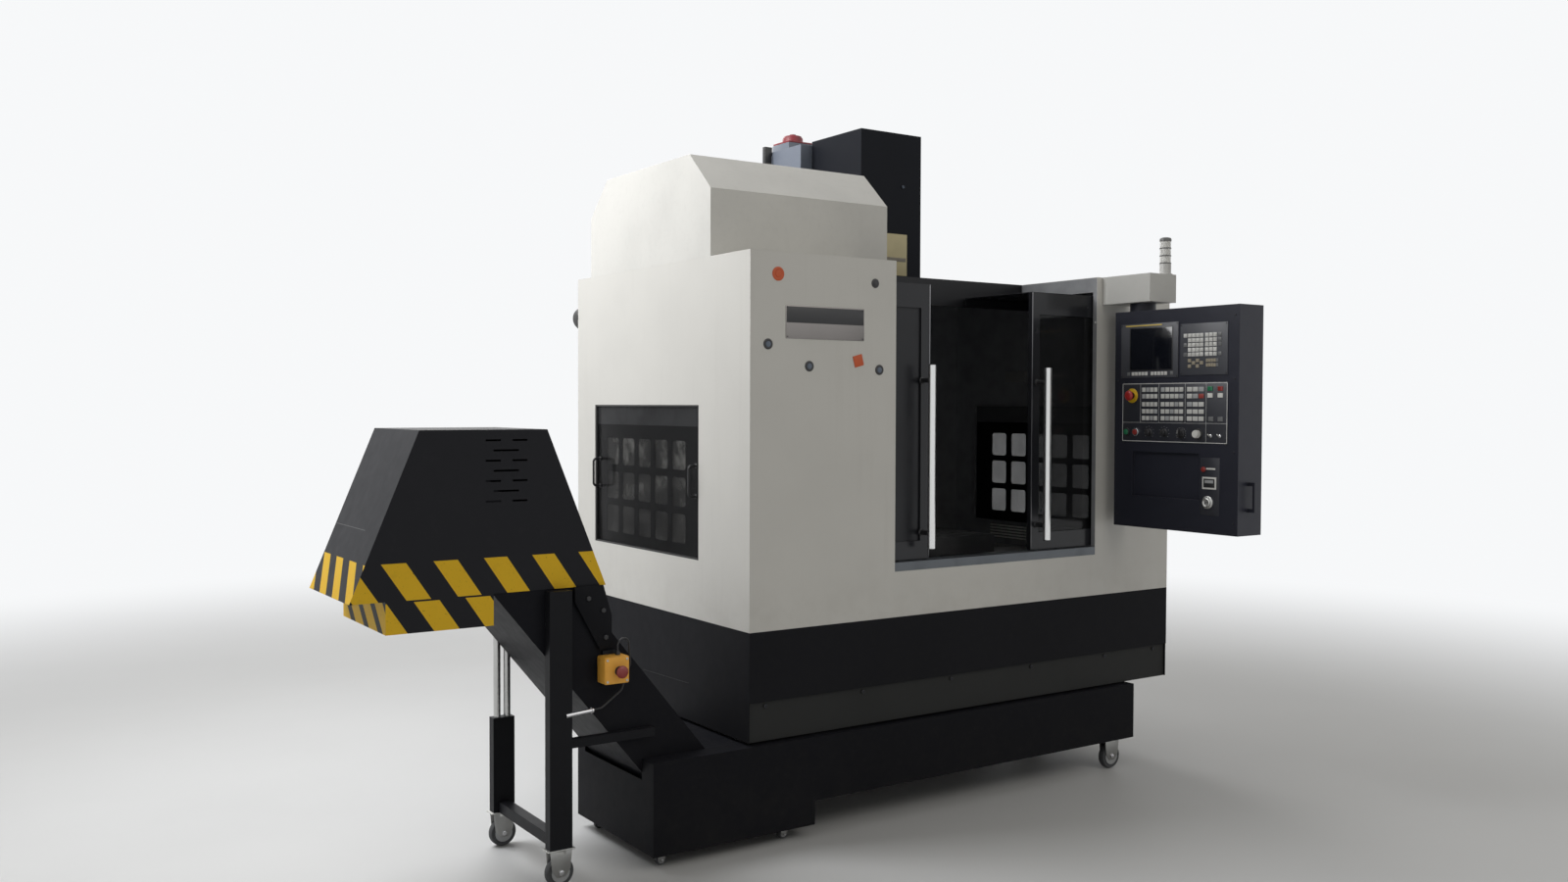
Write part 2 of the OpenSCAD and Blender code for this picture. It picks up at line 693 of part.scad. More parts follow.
// Spindle head: rear slide on the column's rails and a nose block in front
head_z0 = nose_z + 60;
block_front = cover_y + sheet + fit;
block_rear = 1130;
nose_d = 190;
spindle_d = 120;
bore_h = 400;
module spindle_head() {
    color([0.42, 0.45, 0.5]) {
        difference() {
            union() {
                block([spindle_x - slide_w / 2, spindle_x + slide_w / 2], [block_rear, column_y - z_rail_t - fit],
                    [head_z0, slide_top]);
                block([spindle_x - cover_w / 2 + sheet + fit, spindle_x + cover_w / 2 - sheet - fit],
                    [block_front, block_rear], [head_z0 + 40, head_z0 + 440]);
                bar_z([spindle_x, spindle_y, nose_z + 12], nose_d, head_z0 + 40 - nose_z - 12);
                bar_z([spindle_x, spindle_y, nose_z + 34], nose_d + 60, head_z0 + 40 - nose_z - 34);
            }
            bar_z([spindle_x, spindle_y, nose_z - cut], spindle_d + 2 * run, bore_h + cut);
        }
        // Spindle motor under the cover
        block([spindle_x - 100, spindle_x + 100], [spindle_y - 100, spindle_y + 100], [head_z0 + 440, head_z0 + 860]);
        bar_z([spindle_x, spindle_y, head_z0 + 860], 160, 90);
        // Bracket plate on the rear edge of the slide's left side
        block([spindle_x - slide_w / 2 - 4, spindle_x - slide_w / 2], [column_y - 62, column_y - 34], [2600, slide_top - 20]);
    }
}
module head_cover() {
    color([0.13, 0.14, 0.17]) difference() {
        block([spindle_x - cover_w / 2, spindle_x + cover_w / 2], [cover_y, block_rear], [head_z0 + 40, cover_top]);
        block([spindle_x - cover_w / 2 + sheet, spindle_x + cover_w / 2 - sheet], [cover_y + sheet, block_rear + cut],
            [head_z0 + 40 - cut, cover_top - sheet]);
    }
}
// Spindle with a taper socket and two drive keys
taper_l = 68;
taper_d = 44.4;
taper_top_d = 24.6;
module spindle() {
    color("silver") {
        difference() {
            bar_z([spindle_x, spindle_y, nose_z], spindle_d, bore_h - 2);
            translate([spindle_x, spindle_y, nose_z - 0.01])
                cylinder(d1 = taper_d, d2 = taper_top_d, h = taper_l);
            bar_z([spindle_x, spindle_y, nose_z + taper_l - cut], taper_top_d, 60);
        }
        for (s = [-1, 1])
            block([spindle_x + s * 36 - 10, spindle_x + s * 36 + 10], [spindle_y - 8, spindle_y + 8], [nose_z - 8, nose_z]);
    }
}
module z_motor() {
    color("black") {
        block([spindle_x - 110, spindle_x + 110], [column_y + 5, motor_y + 120], [column_top, column_top + 20]);
        block([spindle_x - motor_w / 2, spindle_x + motor_w / 2], [motor_y - motor_w / 2, motor_y + motor_w / 2],
            [column_top + 20, column_top + 20 + motor_h]);
    }
    color("firebrick") {
        block([spindle_x - 72, spindle_x + 72], [motor_y - 72, motor_y + 72],
            [column_top + 20 + motor_h, column_top + 20 + motor_h + cap_h]);
        bar_z([spindle_x, motor_y, column_top + 20 + motor_h + cap_h], 100, 16);
        block([spindle_x - 72, spindle_x - 40], [motor_y - 40, motor_y + 40],
            [column_top + 20 + motor_h + cap_h, column_top + 20 + motor_h + cap_h + 12]);
    }
}

// Tool changer: bracket and gear case carried by the column's front face
disc_x = 600;
disc_t = 20;
case_x0 = 800;
case_x1 = 985;
case_bottom = nose_z;
case_top = nose_z + 300;
sleeve_d = 90;
arm_shaft_d = 50;
module magazine_bracket() {
    y1 = column_y - fit;
    column_left = spindle_x - column_w / 2;
    color([0.42, 0.45, 0.5]) difference() {
        union() {
            block([disc_x + disc_t + 40, column_left + 55], [y1 - 50, y1], [disc_z - 90, disc_z + 90]);
            block([disc_x + disc_t + 40, disc_x + disc_t + 120], [spindle_y - 60, y1 - 50], [disc_z - 60, disc_z + 60]);
            block([disc_x + disc_t + 120, case_x1], [spindle_y - 60, spindle_y + 210], [case_top, disc_z + 60]);
            block([case_x0, case_x1], [spindle_y - 90, spindle_y + 210], [case_bottom, case_top]);
            bar_x([disc_x + disc_t + fit, spindle_y, disc_z], 110, 40 - fit);
        }
        bar_x([disc_x - cut, spindle_y, disc_z], 60 + 2 * run, disc_t + 100);
        bar_z([arm_x, spindle_y, case_bottom - cut], sleeve_d + 2 * run, 282);
    }
}
// Magazine disc with its pots: each pot sits between two lugs on the disc
module pot_solid() {
    difference() {
        union() {
            bar_x([-pot_l, 0, 0], pot_d, pot_l + 10);
            bar_x([-pot_l, 0, 0], pot_d + 4, 12);
        }
        translate([-pot_l - 0.01, 0, 0]) rotate([0, 90, 0]) cylinder(d1 = 46, d2 = 30, h = 60);
    }
}
module pot_lugs() {
    for (s = [-1, 1]) difference() {
        block([-16, disc_x - pot_x + cut], s < 0 ? [-pot_d / 2 - 9, -pot_d / 2 - 2] : [pot_d / 2 + 2, pot_d / 2 + 9], [-14, 14]);
        bar_y([0, s < 0 ? -pot_d / 2 - 9 - cut : pot_d / 2 + 2 - cut, 0], 12 + 2 * run, 7 + 2 * cut);
    }
}
module tool_disc() {
    color([0.5, 0.52, 0.55]) {
        difference() {
            bar_x([disc_x, spindle_y, disc_z], 2 * pot_circle + 70, disc_t);
            for (i = [0:5]) translate([0, spindle_y, disc_z]) rotate([60 * i, 0, 0])
                bar_x([disc_x - cut, 0, pot_circle * 0.55], 120, disc_t + 2 * cut);
        }
        bar_x([disc_x, spindle_y, disc_z], 60, disc_t + 80);
        bar_x([disc_x - 30, spindle_y, disc_z], 140, 30);
    }
    for (i = [0:pots - 1]) translate([pot_x, spindle_y, disc_z]) rotate([360 / pots * i, 0, 0])
        translate([0, 0, -pot_circle]) {
            color("gray") pot_lugs();
            if (i > 0) color("darkslategray") {
                pot_solid();
                bar_x([9, 0, 0], 40, disc_x - pot_x - 8);
            }
        }
}
module exchange_pot() {
    color("darkslategray") translate([pot_x, spindle_y, disc_z - pot_circle]) {
        pot_solid();
        for (s = [-1, 1]) bar_y([0, s < 0 ? -pot_d / 2 - 9 : pot_d / 2 - 1, 0], 12, 10);
    }
}
module arm_sleeve() {
    color("gray") difference() {
        bar_z([arm_x, spindle_y, case_bottom - 8], sleeve_d, 285);
        bar_z([arm_x, spindle_y, case_bottom - 8 - cut], arm_shaft_d + 2 * run, 270);
    }
}
// Double arm, parked across the machine, with a jaw at each end
arm_z = nose_z - 60;
arm_t = 26;
jaw_d = 64;
module change_arm() {
    color("silver") {
        difference() {
            union() {
                block([arm_x - 34, arm_x + 34], [spindle_y - arm_r + 30, spindle_y + arm_r - 30], [arm_z, arm_z + arm_t]);
                for (s = [-1, 1]) bar_z([arm_x, spindle_y + s * arm_r, arm_z], jaw_d + 34, arm_t);
            }
            for (s = [-1, 1]) {
                bar_z([arm_x, spindle_y + s * arm_r, arm_z - cut], jaw_d, arm_t + 2 * cut);
                block(s < 0 ? [arm_x, arm_x + 60] : [arm_x - 60, arm_x],
                    [spindle_y + s * arm_r - 26, spindle_y + s * arm_r + 26], [arm_z - cut, arm_z + arm_t + cut]);
            }
        }
        bar_z([arm_x, spindle_y, arm_z], 84, case_bottom - 10 - arm_z);
        bar_z([arm_x, spindle_y, arm_z], arm_shaft_d, 310);
    }
}

// Pendant arm box on the right housing, with the tower light
arm_box_x0 = 1835;
arm_box_x1 = 2001;
arm_box_y = -267;
arm_box_z = 2080;
module pendant_arm_box() {
    color([0.8, 0.8, 0.78]) difference() {
        block([arm_box_x0, arm_box_x1], [arm_box_y, 0], [arm_box_z, enc_top]);
        bar_z([swivel_x, swivel_y, arm_box_z - cut], 60 + 2 * run, 41);
    }
}
lamp_x = 1968;
lamp_y = -235;
module tower_light() {
    color("gainsboro") bar_z([lamp_x, lamp_y, enc_top], 50, 34);
    color("white") for (i = [0:2]) bar_z([lamp_x, lamp_y, enc_top + 34 + 38 * i], 46, 36);
    color("dimgray") for (i = [1:3]) bar_z([lamp_x, lamp_y, enc_top + 32 + 38 * i], 50, 2);
    color("dimgray") bar_z([lamp_x, lamp_y, enc_top + 148], 50, 20);
}
// Pendant: closed box, its face towards the work space, hung from a swivel
key_out = 4;
face_t = 3;
recess_u = [101, 454];
recess_z = [1250, 1440];
function pen_u(u) = pen_y1 - u;
button_hole = 16;
module pendant_box() {
    color([0.17, 0.19, 0.26]) {
        difference() {
            block([pen_x, pen_x + pen_t], [pen_y0, pen_y1], [pen_z0, pen_z1]);
            block([pen_x - cut, pen_x + 14], [pen_u(recess_u[1]), pen_u(recess_u[0])], recess_z);
            for (b = button_places) bar_x([pen_x - cut, pen_u(b[0]), b[1]], button_hole + 2 * run, 40);
        }
        bar_z([swivel_x, swivel_y, pen_z1], 110, arm_box_z - fit - pen_z1);
        bar_z([swivel_x, swivel_y, pen_z1], 60, arm_box_z + 38 - pen_z1);
        // Grip bar on the free end
        block([pen_x + 60, pen_x + 74], [pen_y0 - grip_out, pen_y0 - grip_out + 10], [1210, 1330]);
        for (z = [1210, 1316]) block([pen_x + 60, pen_x + 74], [pen_y0 - grip_out + 10, pen_y0], [z, z + 14]);
    }
}
module plate(u, z, out) {
    block([pen_x - out, pen_x], [pen_u(u[1]), pen_u(u[0])], z);
}
module key(u, z, w, h, base, out) {
    block([pen_x - base - out, pen_x - base], [pen_u(u + w), pen_u(u)], [z, z + h]);
}
module display_unit() {
    bezel_u = [36, 344];
    bezel_z = [1756, 1987];
    color("black") {
        difference() {
            plate(bezel_u, bezel_z, key_out);
            block([pen_x - key_out - cut, pen_x - 2], [pen_u(300), pen_u(80)], [1800, 1965]);
        }
    }
    color("lightgray") for (i = [0:11]) key(52 + i * 23.5, 1764, 17, 15, key_out, 2);
}
module keyboard_unit() {
    color([0.16, 0.17, 0.2]) plate([354, 590], [1763, 1975], face_t);
    color("lightgray") {
        for (i = [0:5], j = [0:3]) key(366 + i * 24, 1905 - j * 26, 19, 19, face_t, 2);
        for (i = [0:2], j = [0:3]) key(514 + i * 24, 1905 - j * 26, 19, 19, face_t, 2);
        for (i = [0:4]) key(366 + i * 24, 1944, 19, 14, face_t, 2);
        for (i = [0:3]) key(440 + i * 24, 1788, 19, 19, face_t, 2);
    }
}
// Operator panel with membrane keys; buttons and knobs are pieces of their own
estop_place = [100, 1680];
start_place = [71, 1524];
stop_place = [121, 1524];
mode_place = [362, 1521];
override_place = [450, 1521];
button_places = [estop_place, start_place, stop_place, mode_place, override_place];
module operator_panel() {
    color([0.14, 0.14, 0.16]) difference() {
        plate([46, 592], [1483, 1733], face_t);
        for (b = button_places) bar_x([pen_x - face_t - cut, pen_u(b[0]), b[1]], button_hole + 2 * run, face_t + 2 * cut);
    }
    color("lightgray") {
        for (j = [0:4]) {
            z = 1695 - j * 30;
            for (i = [0:3]) key(154 + i * 21.5, z, 18, 20, face_t, 2);
            for (i = [0:4]) key(255 + i * 24, z, 20, 20, face_t, 2);
            for (i = [0:2]) key(391 + i * 29.5, z, 25, 20, face_t, 2);
        }
        for (i = [0:1]) {
            for (z = [1699, 1671, 1577]) key(496 + i * 49, z, 24, 17, face_t, 4);
            bar_x([pen_x - face_t - 8, pen_u(511 + i * 45), 1516], 16, 8);
            bar_x([pen_x - face_t - 18, pen_u(511 + i * 45), 1520], 6, 10.5);
        }
    }
    // Two fused selector knobs
    color("black") for (u = [194, 275]) {
        bar_x([pen_x - face_t - 6, pen_u(u), 1524], 36, 6);
        bar_x([pen_x - face_t - 19, pen_u(u), 1524], 25, 13.5);
    }
}
// A push button: a cap in front of the panel and a shank in the hole
module push(place, cap_d, cap_l, gap) {
    front = pen_x - face_t - gap;
    bar_x([front - cap_l, pen_u(place[0]), place[1]], cap_d, cap_l);
    bar_x([front - cap_l, pen_u(place[0]), place[1]], button_hole, cap_l + gap + 22);
}
module pendant_estop() {
    color("firebrick") push(estop_place, 44, 22, 6);
}
module start_button() {
    color("seagreen") push(start_place, 24, 6, 4);
}
module stop_button() {
    color("firebrick") push(stop_place, 24, 6, 4);
}
module knob(place, d, l) {
    front = pen_x - face_t - fit;
    bar_x([front - 6, pen_u(place[0]), place[1]], d + 10, 6);
    intersection() {
        bar_x([front - l, pen_u(place[0]), place[1]], d, l);
        block([front - l, front], [pen_u(place[0]) - d / 2, pen_u(place[0]) + d / 2], [place[1] - d * 0.32, place[1] + d * 0.32]);
    }
    bar_x([front - 6, pen_u(place[0]), place[1]], button_hole, 28);
}
module mode_knob() {
    color("black") knob(mode_place, 30, 24);
}
module override_knob() {
    color("white") knob(override_place, 36, 24);
}

// Chip conveyor: a casing that runs along the trough and up the incline
half_tan = tan(incline / 2);
tail_x = tank_x1 - 150;
case_end = tail_x + 110;
head_over = 110;
function up(s, n) = [shaft_x0 - s * cos(incline) + n * sin(incline), case_z + s * sin(incline) + n * cos(incline)];
incline_l = (shaft_z - case_z) / sin(incline);
// Band of half height h round the path, from the tail to beyond the head shaft
module band(h, x_end, over) {
    polygon([[x_end, case_z - h], [shaft_x0 - h * half_tan, case_z - h], up(incline_l + over, -h),
        up(incline_l + over, h), [shaft_x0 + h * half_tan, case_z + h], [x_end, case_z + h]]);
}
module conveyor_casing() {
    inner = case_h - sheet;
    color([0.15, 0.15, 0.17]) difference() {
        along_y([case_y0, case_y1]) band(case_h, case_end, head_over);
        along_y([case_y0 + sheet, case_y1 - sheet]) band(inner, case_end - sheet, head_over + cut);
        // Open mouth under the head shaft and open top inside the machine
        along_y([case_y0 + sheet, case_y1 - sheet])
            polygon([up(incline_l - 150, -inner + cut), up(incline_l - 150, -case_h - cut),
                up(incline_l + head_over + cut, -case_h - cut), up(incline_l + head_over + cut, -inner + cut)]);
        block([sheet + 20, tail_x + 20], [case_y0 + sheet, case_y1 - sheet], [case_z + inner - cut, case_z + case_h + cut]);
        bar_y([shaft_x, case_y0 - cut, shaft_z], shaft_d + 2 * run, case_y1 - case_y0 + 2 * cut);
    }
    color("gray") bar_y([tail_x, case_y0 + sheet, case_z], 2 * (belt_r - belt_t - fit), case_y1 - case_y0 - 2 * sheet);
}
shaft_d = 40;
belt_r = 80;
belt_t = 4;
knuckle = 63;
belt_y0 = case_y0 + sheet + 12;
belt_y1 = case_y1 - sheet - 12;
// Closed loop at a distance r from the path's centre
module loop(r) {
    band(r, tail_x, 0);
    translate([tail_x, case_z]) circle(r);
    translate([shaft_x, shaft_z]) circle(r);
}
module hinge_bar(p) {
    translate([p[0], belt_y1, p[1]]) rotate([90, 0, 0]) cylinder(d = 7, h = belt_y1 - belt_y0, $fn = 6);
}
module conveyor_belt() {
    flat_n = floor((tail_x - shaft_x0 - 120) / knuckle);
    rise_n = floor((incline_l - 120) / knuckle);
    color("silver") {
        difference() {
            along_y([belt_y0, belt_y1]) loop(belt_r);
            along_y([belt_y0 - cut, belt_y1 + cut]) loop(belt_r - belt_t);
        }
        for (i = [0:flat_n], s = [-1, 1]) hinge_bar([tail_x - i * knuckle, case_z + s * belt_r]);
        for (i = [1:rise_n], s = [-1, 1]) hinge_bar(up(60 + i * knuckle, s * belt_r));
        for (i = [1:3:rise_n]) along_y([belt_y0, belt_y1])
            polygon([up(57 + i * knuckle, belt_r - 1), up(63 + i * knuckle, belt_r - 1),
                up(63 + i * knuckle, belt_r + 26), up(57 + i * knuckle, belt_r + 26)]);
    }
}
teeth = 12;
module conveyor_shaft() {
    tip = belt_r - belt_t - fit;
    color("gray") {
        bar_y([shaft_x, case_y0 + 0.1, shaft_z], shaft_d, case_y1 - case_y0 - 0.2);
        for (y = [belt_y0 + 30, belt_y1 - 50]) translate([shaft_x, 0, shaft_z]) along_y([y, y + 20])
            polygon([for (i = [0:2 * teeth - 1]) let (r = i % 2 == 0 ? tip : tip - 12, a = 180 / teeth * i)
                [r * cos(a), r * sin(a)]]);
    }
}
// Hood over the conveyor's head: sloping sides, louvres in front, chute below
band_h = 128;
chute_x0 = -1310;
chute_x1 = -953;
chute_z = 905;
function hood_left(z) = chood_xl0 + (z - chood_z0) / (chood_z1 - chood_z0) * (chood_xl1 - chood_xl0);
function hood_right(z) = chood_xr0 + (z - chood_z0) / (chood_z1 - chood_z0) * (chood_xr1 - chood_xr0);
module conveyor_hood() {
    y0 = conv_y;
    y1 = conv_y + conv_d;
    top = chood_z1;
    slope = sheet * 1.1;
    color([0.17, 0.18, 0.2]) {
        difference() {
            along_y([y0, y1]) polygon([[chood_xl0, chood_z0], [chood_xr0, chood_z0], [chood_xr1, top], [chood_xl1, top]]);
            along_y([y0 + sheet, y1 - sheet]) polygon([[hood_left(chood_z0 - cut) + slope, chood_z0 - cut],
                [hood_right(chood_z0 - cut) - slope, chood_z0 - cut], [hood_right(top - sheet) - slope, top - sheet],
                [hood_left(top - sheet) + slope, top - sheet]]);
            for (j = [0:6]) {
                z = 1512 - j * 33.5;
                for (x = j % 2 == 0 ? [-979, -886] : [-952])
                    block([x, x + (j % 2 == 0 ? 52 : 88)], [y0 - cut, y0 + sheet + cut], [z, z + 6]);
            }
        }
        // Discharge chute, open towards the casing
        block([chute_x0, chute_x1], [y0, y0 + sheet], [chute_z, chood_z0]);
        block([chute_x0, chute_x1], [y1 - sheet, y1], [chute_z, chood_z0]);
        block([chute_x0, chute_x0 + sheet], [y0 + sheet, y1 - sheet], [chute_z, chood_z0]);
    }
}
// Legs: square tubes with a foot bar; the rear one has two bright telescopic tubes
brace_z = 465;
module conveyor_legs() {
    top = chood_z0 - 5;
    yf = case_y0 - fit;
    yr = case_y1 + fit;
    mid = [480, 820];
    color([0.14, 0.14, 0.16]) {
        block([leg_x0, leg_x1], [yf - leg_t, yf], [leg_z0, top]);
        block([leg_x0, leg_x1], [yr, yr + leg_t], [leg_z0, mid[0]]);
        block([leg_x0, leg_x1], [yr, yr + leg_t], [mid[1], top]);
        block([leg_x0 + 20, leg_x1 - 20], [yf, yr], [leg_z0, leg_z0 + leg_t]);
        block([leg_x1, shaft_x0 - 170], [yf - 30, yf], [brace_z, brace_z + 30]);
    }
    color("silver") for (x = [leg_x0 + 22, leg_x1 - 22]) bar_z([x, yr + leg_t / 2, mid[0]], 26, mid[1] - mid[0]);
}
estop_x = -535;
estop_z = 722;
estop_w = 93;
knob_x = estop_x + 8;
knob_z = estop_z - 3;
module conveyor_estop_box() {
    yb = case_y0 - fit;
    color("gold") difference() {
        block([estop_x - estop_w / 2, estop_x + estop_w / 2], [yb - 68, yb - 8], [estop_z - estop_w / 2, estop_z + estop_w / 2]);
        bar_y([knob_x, yb - 68 - cut, knob_z], button_hole + 2 * run, 40);
    }
    color("dimgray") block([estop_x - 25, estop_x + 25], [yb - 8, yb], [estop_z - 60, estop_z + 60]);
}
module conveyor_estop_knob() {
    yb = case_y0 - fit - 68;
    color("firebrick") {
        bar_y([knob_x, yb - 30, knob_z], 44, 22);
        bar_y([knob_x, yb - 30, knob_z], button_hole, 60);
    }
}

// Electrical cabinet on the rear of the enclosure, its door towards the rear
cab_x0 = spindle_x + foot_w / 2 + 20;
cab_x1 = enc_w - 20;
cab_y0 = enc_d + fit;
cab_y1 = 1850;
cab_z1 = enc_top - 60;
hinge_x = cab_x1 + 6;
hinge_y = cab_y1 + 10;
leaf = 15;
module electrical_cabinet() {
    color([0.8, 0.8, 0.78]) {
        difference() {
            block([cab_x0, cab_x1], [cab_y0, cab_y1], [white_z, cab_z1]);
            block([cab_x0 + sheet, cab_x1 - sheet], [cab_y0 + sheet, cab_y1 + cut], [white_z + sheet, cab_z1 - sheet]);
        }
        for (z = [white_z, cab_z1 - leaf]) block([cab_x1 - 14, hinge_x + 10], [cab_y1, cab_y1 + 20], [z, z + leaf]);
    }
    color("silver") for (z = [white_z + 4, cab_z1 - 44]) bar_z([hinge_x, hinge_y, z], 8, 40);
    // Mounting plate with drive units and cable ducts
    color("goldenrod") block([cab_x0 + 30, cab_x1 - 30], [cab_y0 + sheet, cab_y0 + sheet + 8], [white_z + 60, cab_z1 - 60]);
    color("gray") {
        for (i = [0:3]) block([cab_x0 + 50 + i * 100, cab_x0 + 130 + i * 100], [cab_y0 + sheet + 8, cab_y0 + 220], [1700, 2020]);
        for (i = [0:7]) block([cab_x0 + 60 + i * 46, cab_x0 + 98 + i * 46], [cab_y0 + sheet + 8, cab_y0 + 90], [1420, 1510]);
        block([cab_x0 + 60, cab_x0 + 240], [cab_y0 + sheet + 8, cab_y0 + 180], [930, 1150]);
        for (z = [1200, 1590]) block([cab_x0 + 50, cab_x1 - 50], [cab_y0 + sheet + 8, cab_y0 + 70], [z, z + 50]);
    }
}
door_in = cab_z1 - white_z - 2 * leaf - 2 * fit;
switch_x = cab_x0 + 70;
switch_z = 1500;
module cabinet_door() {
    z0 = white_z + leaf + fit;
    y0 = cab_y1 + fit;
    color([0.8, 0.8, 0.78]) difference() {
        union() {
            block([cab_x0, cab_x1], [y0, y0 + 20], [z0, z0 + door_in]);
            for (z = [z0, z0 + door_in - 50]) {
                bar_z([hinge_x, hinge_y, z], 16, 50);
                block([cab_x1 - 1, hinge_x], [hinge_y - 6, hinge_y + 6], [z, z + 50]);
            }
        }
        block([cab_x0 + 30, cab_x1 - 30], [y0 - cut, y0 + 16], [z0 + 30, z0 + door_in - 30]);
        for (z = [z0 - cut, z0 + door_in - 32]) bar_z([hinge_x, hinge_y, z], 8 + 2 * run, 33);
        bar_y([switch_x, y0 + 10, switch_z], button_hole + 2 * run, 12);
        for (i = [0:5]) block([cab_x0 + 150, cab_x1 - 150], [y0 + 15, y0 + 21], [1000 + i * 24, 1008 + i * 24]);
    }
}
// Main switch on the cabinet's door
module main_switch() {
    y = cab_y1 + fit + 20 + fit;
    color("black") {
        bar_y([switch_x, y, switch_z], 64, 8);
        block([switch_x - 9, switch_x + 9], [y + 8, y + 30], [switch_z - 30, switch_z + 30]);
        bar_y([switch_x, y - 10, switch_z], button_hole, 12);
    }
}

placed() base_casting();
placed() levelling_feet();
placed() column();
placed() coolant_tank();
placed() casters();
placed() skirt_panels();
placed() base_cover_plate();
placed() left_housing();
placed() right_housing();
placed() lower_front_panel();
placed() door_sill();
placed() guide_beam();
placed() rear_enclosure();
placed() magazine_hood();
placed() window_panes();
placed() window_guards();
placed() left_door();
placed() left_door_glass();
placed() left_door_handle();
placed() right_door();
placed() right_door_glass();
placed() right_door_handle();
placed() saddle();
placed() table();
placed() table_top();
placed() left_way_cover_1();
placed() left_way_cover_2();
placed() right_way_cover_1();
placed() right_way_cover_2();
placed() front_way_cover();
placed() spindle_head();
placed() head_cover();
placed() spindle();
placed() z_motor();
placed() magazine_bracket();
placed() tool_disc();
placed() exchange_pot();
placed() arm_sleeve();
placed() change_arm();
placed() pendant_arm_box();
placed() tower_light();
placed() pendant_box();
placed() display_unit();
placed() keyboard_unit();
placed() operator_panel();
placed() pendant_estop();
placed() start_button();
placed() stop_button();
placed() mode_knob();
placed() override_knob();
placed() conveyor_casing();
placed() conveyor_belt();
placed() conveyor_shaft();
placed() conveyor_hood();
placed() conveyor_legs();
placed() conveyor_estop_box();
placed() conveyor_estop_knob();
placed() electrical_cabinet();
placed() cabinet_door();
placed() main_switch();
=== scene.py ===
"""Finishes and fine pieces of the machining centre, set over its solids."""
import json
import math

import bmesh
import bpy
from mathutils import Matrix, Vector

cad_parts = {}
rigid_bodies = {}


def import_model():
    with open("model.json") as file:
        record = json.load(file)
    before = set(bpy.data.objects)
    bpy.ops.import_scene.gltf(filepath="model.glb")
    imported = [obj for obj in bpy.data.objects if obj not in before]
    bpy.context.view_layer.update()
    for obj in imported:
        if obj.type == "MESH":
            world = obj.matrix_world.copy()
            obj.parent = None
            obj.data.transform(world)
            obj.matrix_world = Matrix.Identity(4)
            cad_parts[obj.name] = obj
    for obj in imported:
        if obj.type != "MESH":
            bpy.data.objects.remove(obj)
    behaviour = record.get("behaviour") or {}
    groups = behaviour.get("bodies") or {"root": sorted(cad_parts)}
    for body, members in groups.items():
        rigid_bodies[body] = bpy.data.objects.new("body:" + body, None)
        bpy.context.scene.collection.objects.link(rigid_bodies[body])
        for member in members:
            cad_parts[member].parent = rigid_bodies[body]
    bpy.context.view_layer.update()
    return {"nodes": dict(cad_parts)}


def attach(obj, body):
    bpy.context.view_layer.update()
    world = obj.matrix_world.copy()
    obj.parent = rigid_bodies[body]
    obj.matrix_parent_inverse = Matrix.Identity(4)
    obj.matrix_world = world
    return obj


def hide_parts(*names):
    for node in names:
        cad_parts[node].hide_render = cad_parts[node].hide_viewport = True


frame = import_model()
NODES = frame["nodes"]

# Place of the frame's origin in the part's drawing, which is in millimetres
ORIGIN_X, ORIGIN_Y = 444.5, 756.0
MM_PER_M = 1000


def from_x(x):
    return (x - ORIGIN_X) / MM_PER_M


def from_y(y):
    return (y - ORIGIN_Y) / MM_PER_M


def place(x, y, z):
    """A point of the drawing in metres of the frame."""
    return Vector((from_x(x), from_y(y), z / MM_PER_M))


def new_object(name, data):
    ob = bpy.data.objects.new(name, data)
    bpy.context.scene.collection.objects.link(ob)
    return ob


def add_node(tree, kind, settings=None, values=None, out=0):
    """Adds a node: its settings first, then the value or the link of each socket."""
    node = tree.nodes.new(kind)
    for key, v in (settings or {}).items():
        setattr(node, key, v)
    for key, v in (values or {}).items():
        if v is not None:
            feed(tree, node.inputs[key], v)
    return Socket(tree, node.outputs[out]) if node.outputs else None


def feed(tree, target, value):
    if isinstance(value, Socket):
        tree.links.new(value.sock, target)
    elif target.type == "RGBA" and len(value) == 3:
        target.default_value = (*value, 1)
    else:
        target.default_value = value


def with_other(op):
    """One step of arithmetic with another value."""
    return lambda self, other: self.math(op, other)


class Socket:
    """A node's output with arithmetic."""

    def __init__(self, tree, sock):
        self.tree = tree
        self.sock = sock

    def beside(self, key):
        """Another output of the same node."""
        return Socket(self.tree, self.sock.node.outputs[key])

    def math(self, op, b=None, c=None):
        return add_node(self.tree, "ShaderNodeMath", {"operation": op}, {0: self, 1: b, 2: c})

    __add__ = __radd__ = with_other("ADD")
    __sub__ = with_other("SUBTRACT")
    __mul__ = __rmul__ = with_other("MULTIPLY")
    __truediv__ = with_other("DIVIDE")
    gt, lt = with_other("GREATER_THAN"), with_other("LESS_THAN")
    hi, lo = with_other("MAXIMUM"), with_other("MINIMUM")

    def __rsub__(self, other):
        return self.math("MULTIPLY_ADD", -1.0, other)

    def frac(self):
        return self.math("FRACT")

    def step(self, a, b):
        """0 below a and 1 above b, smooth between them."""
        return add_node(self.tree, "ShaderNodeMapRange", {"interpolation_type": "SMOOTHSTEP"},
                        {0: self, 1: a, 2: b, 3: 0.0, 4: 1.0})


def darker(color, share):
    return tuple(c * share for c in color)


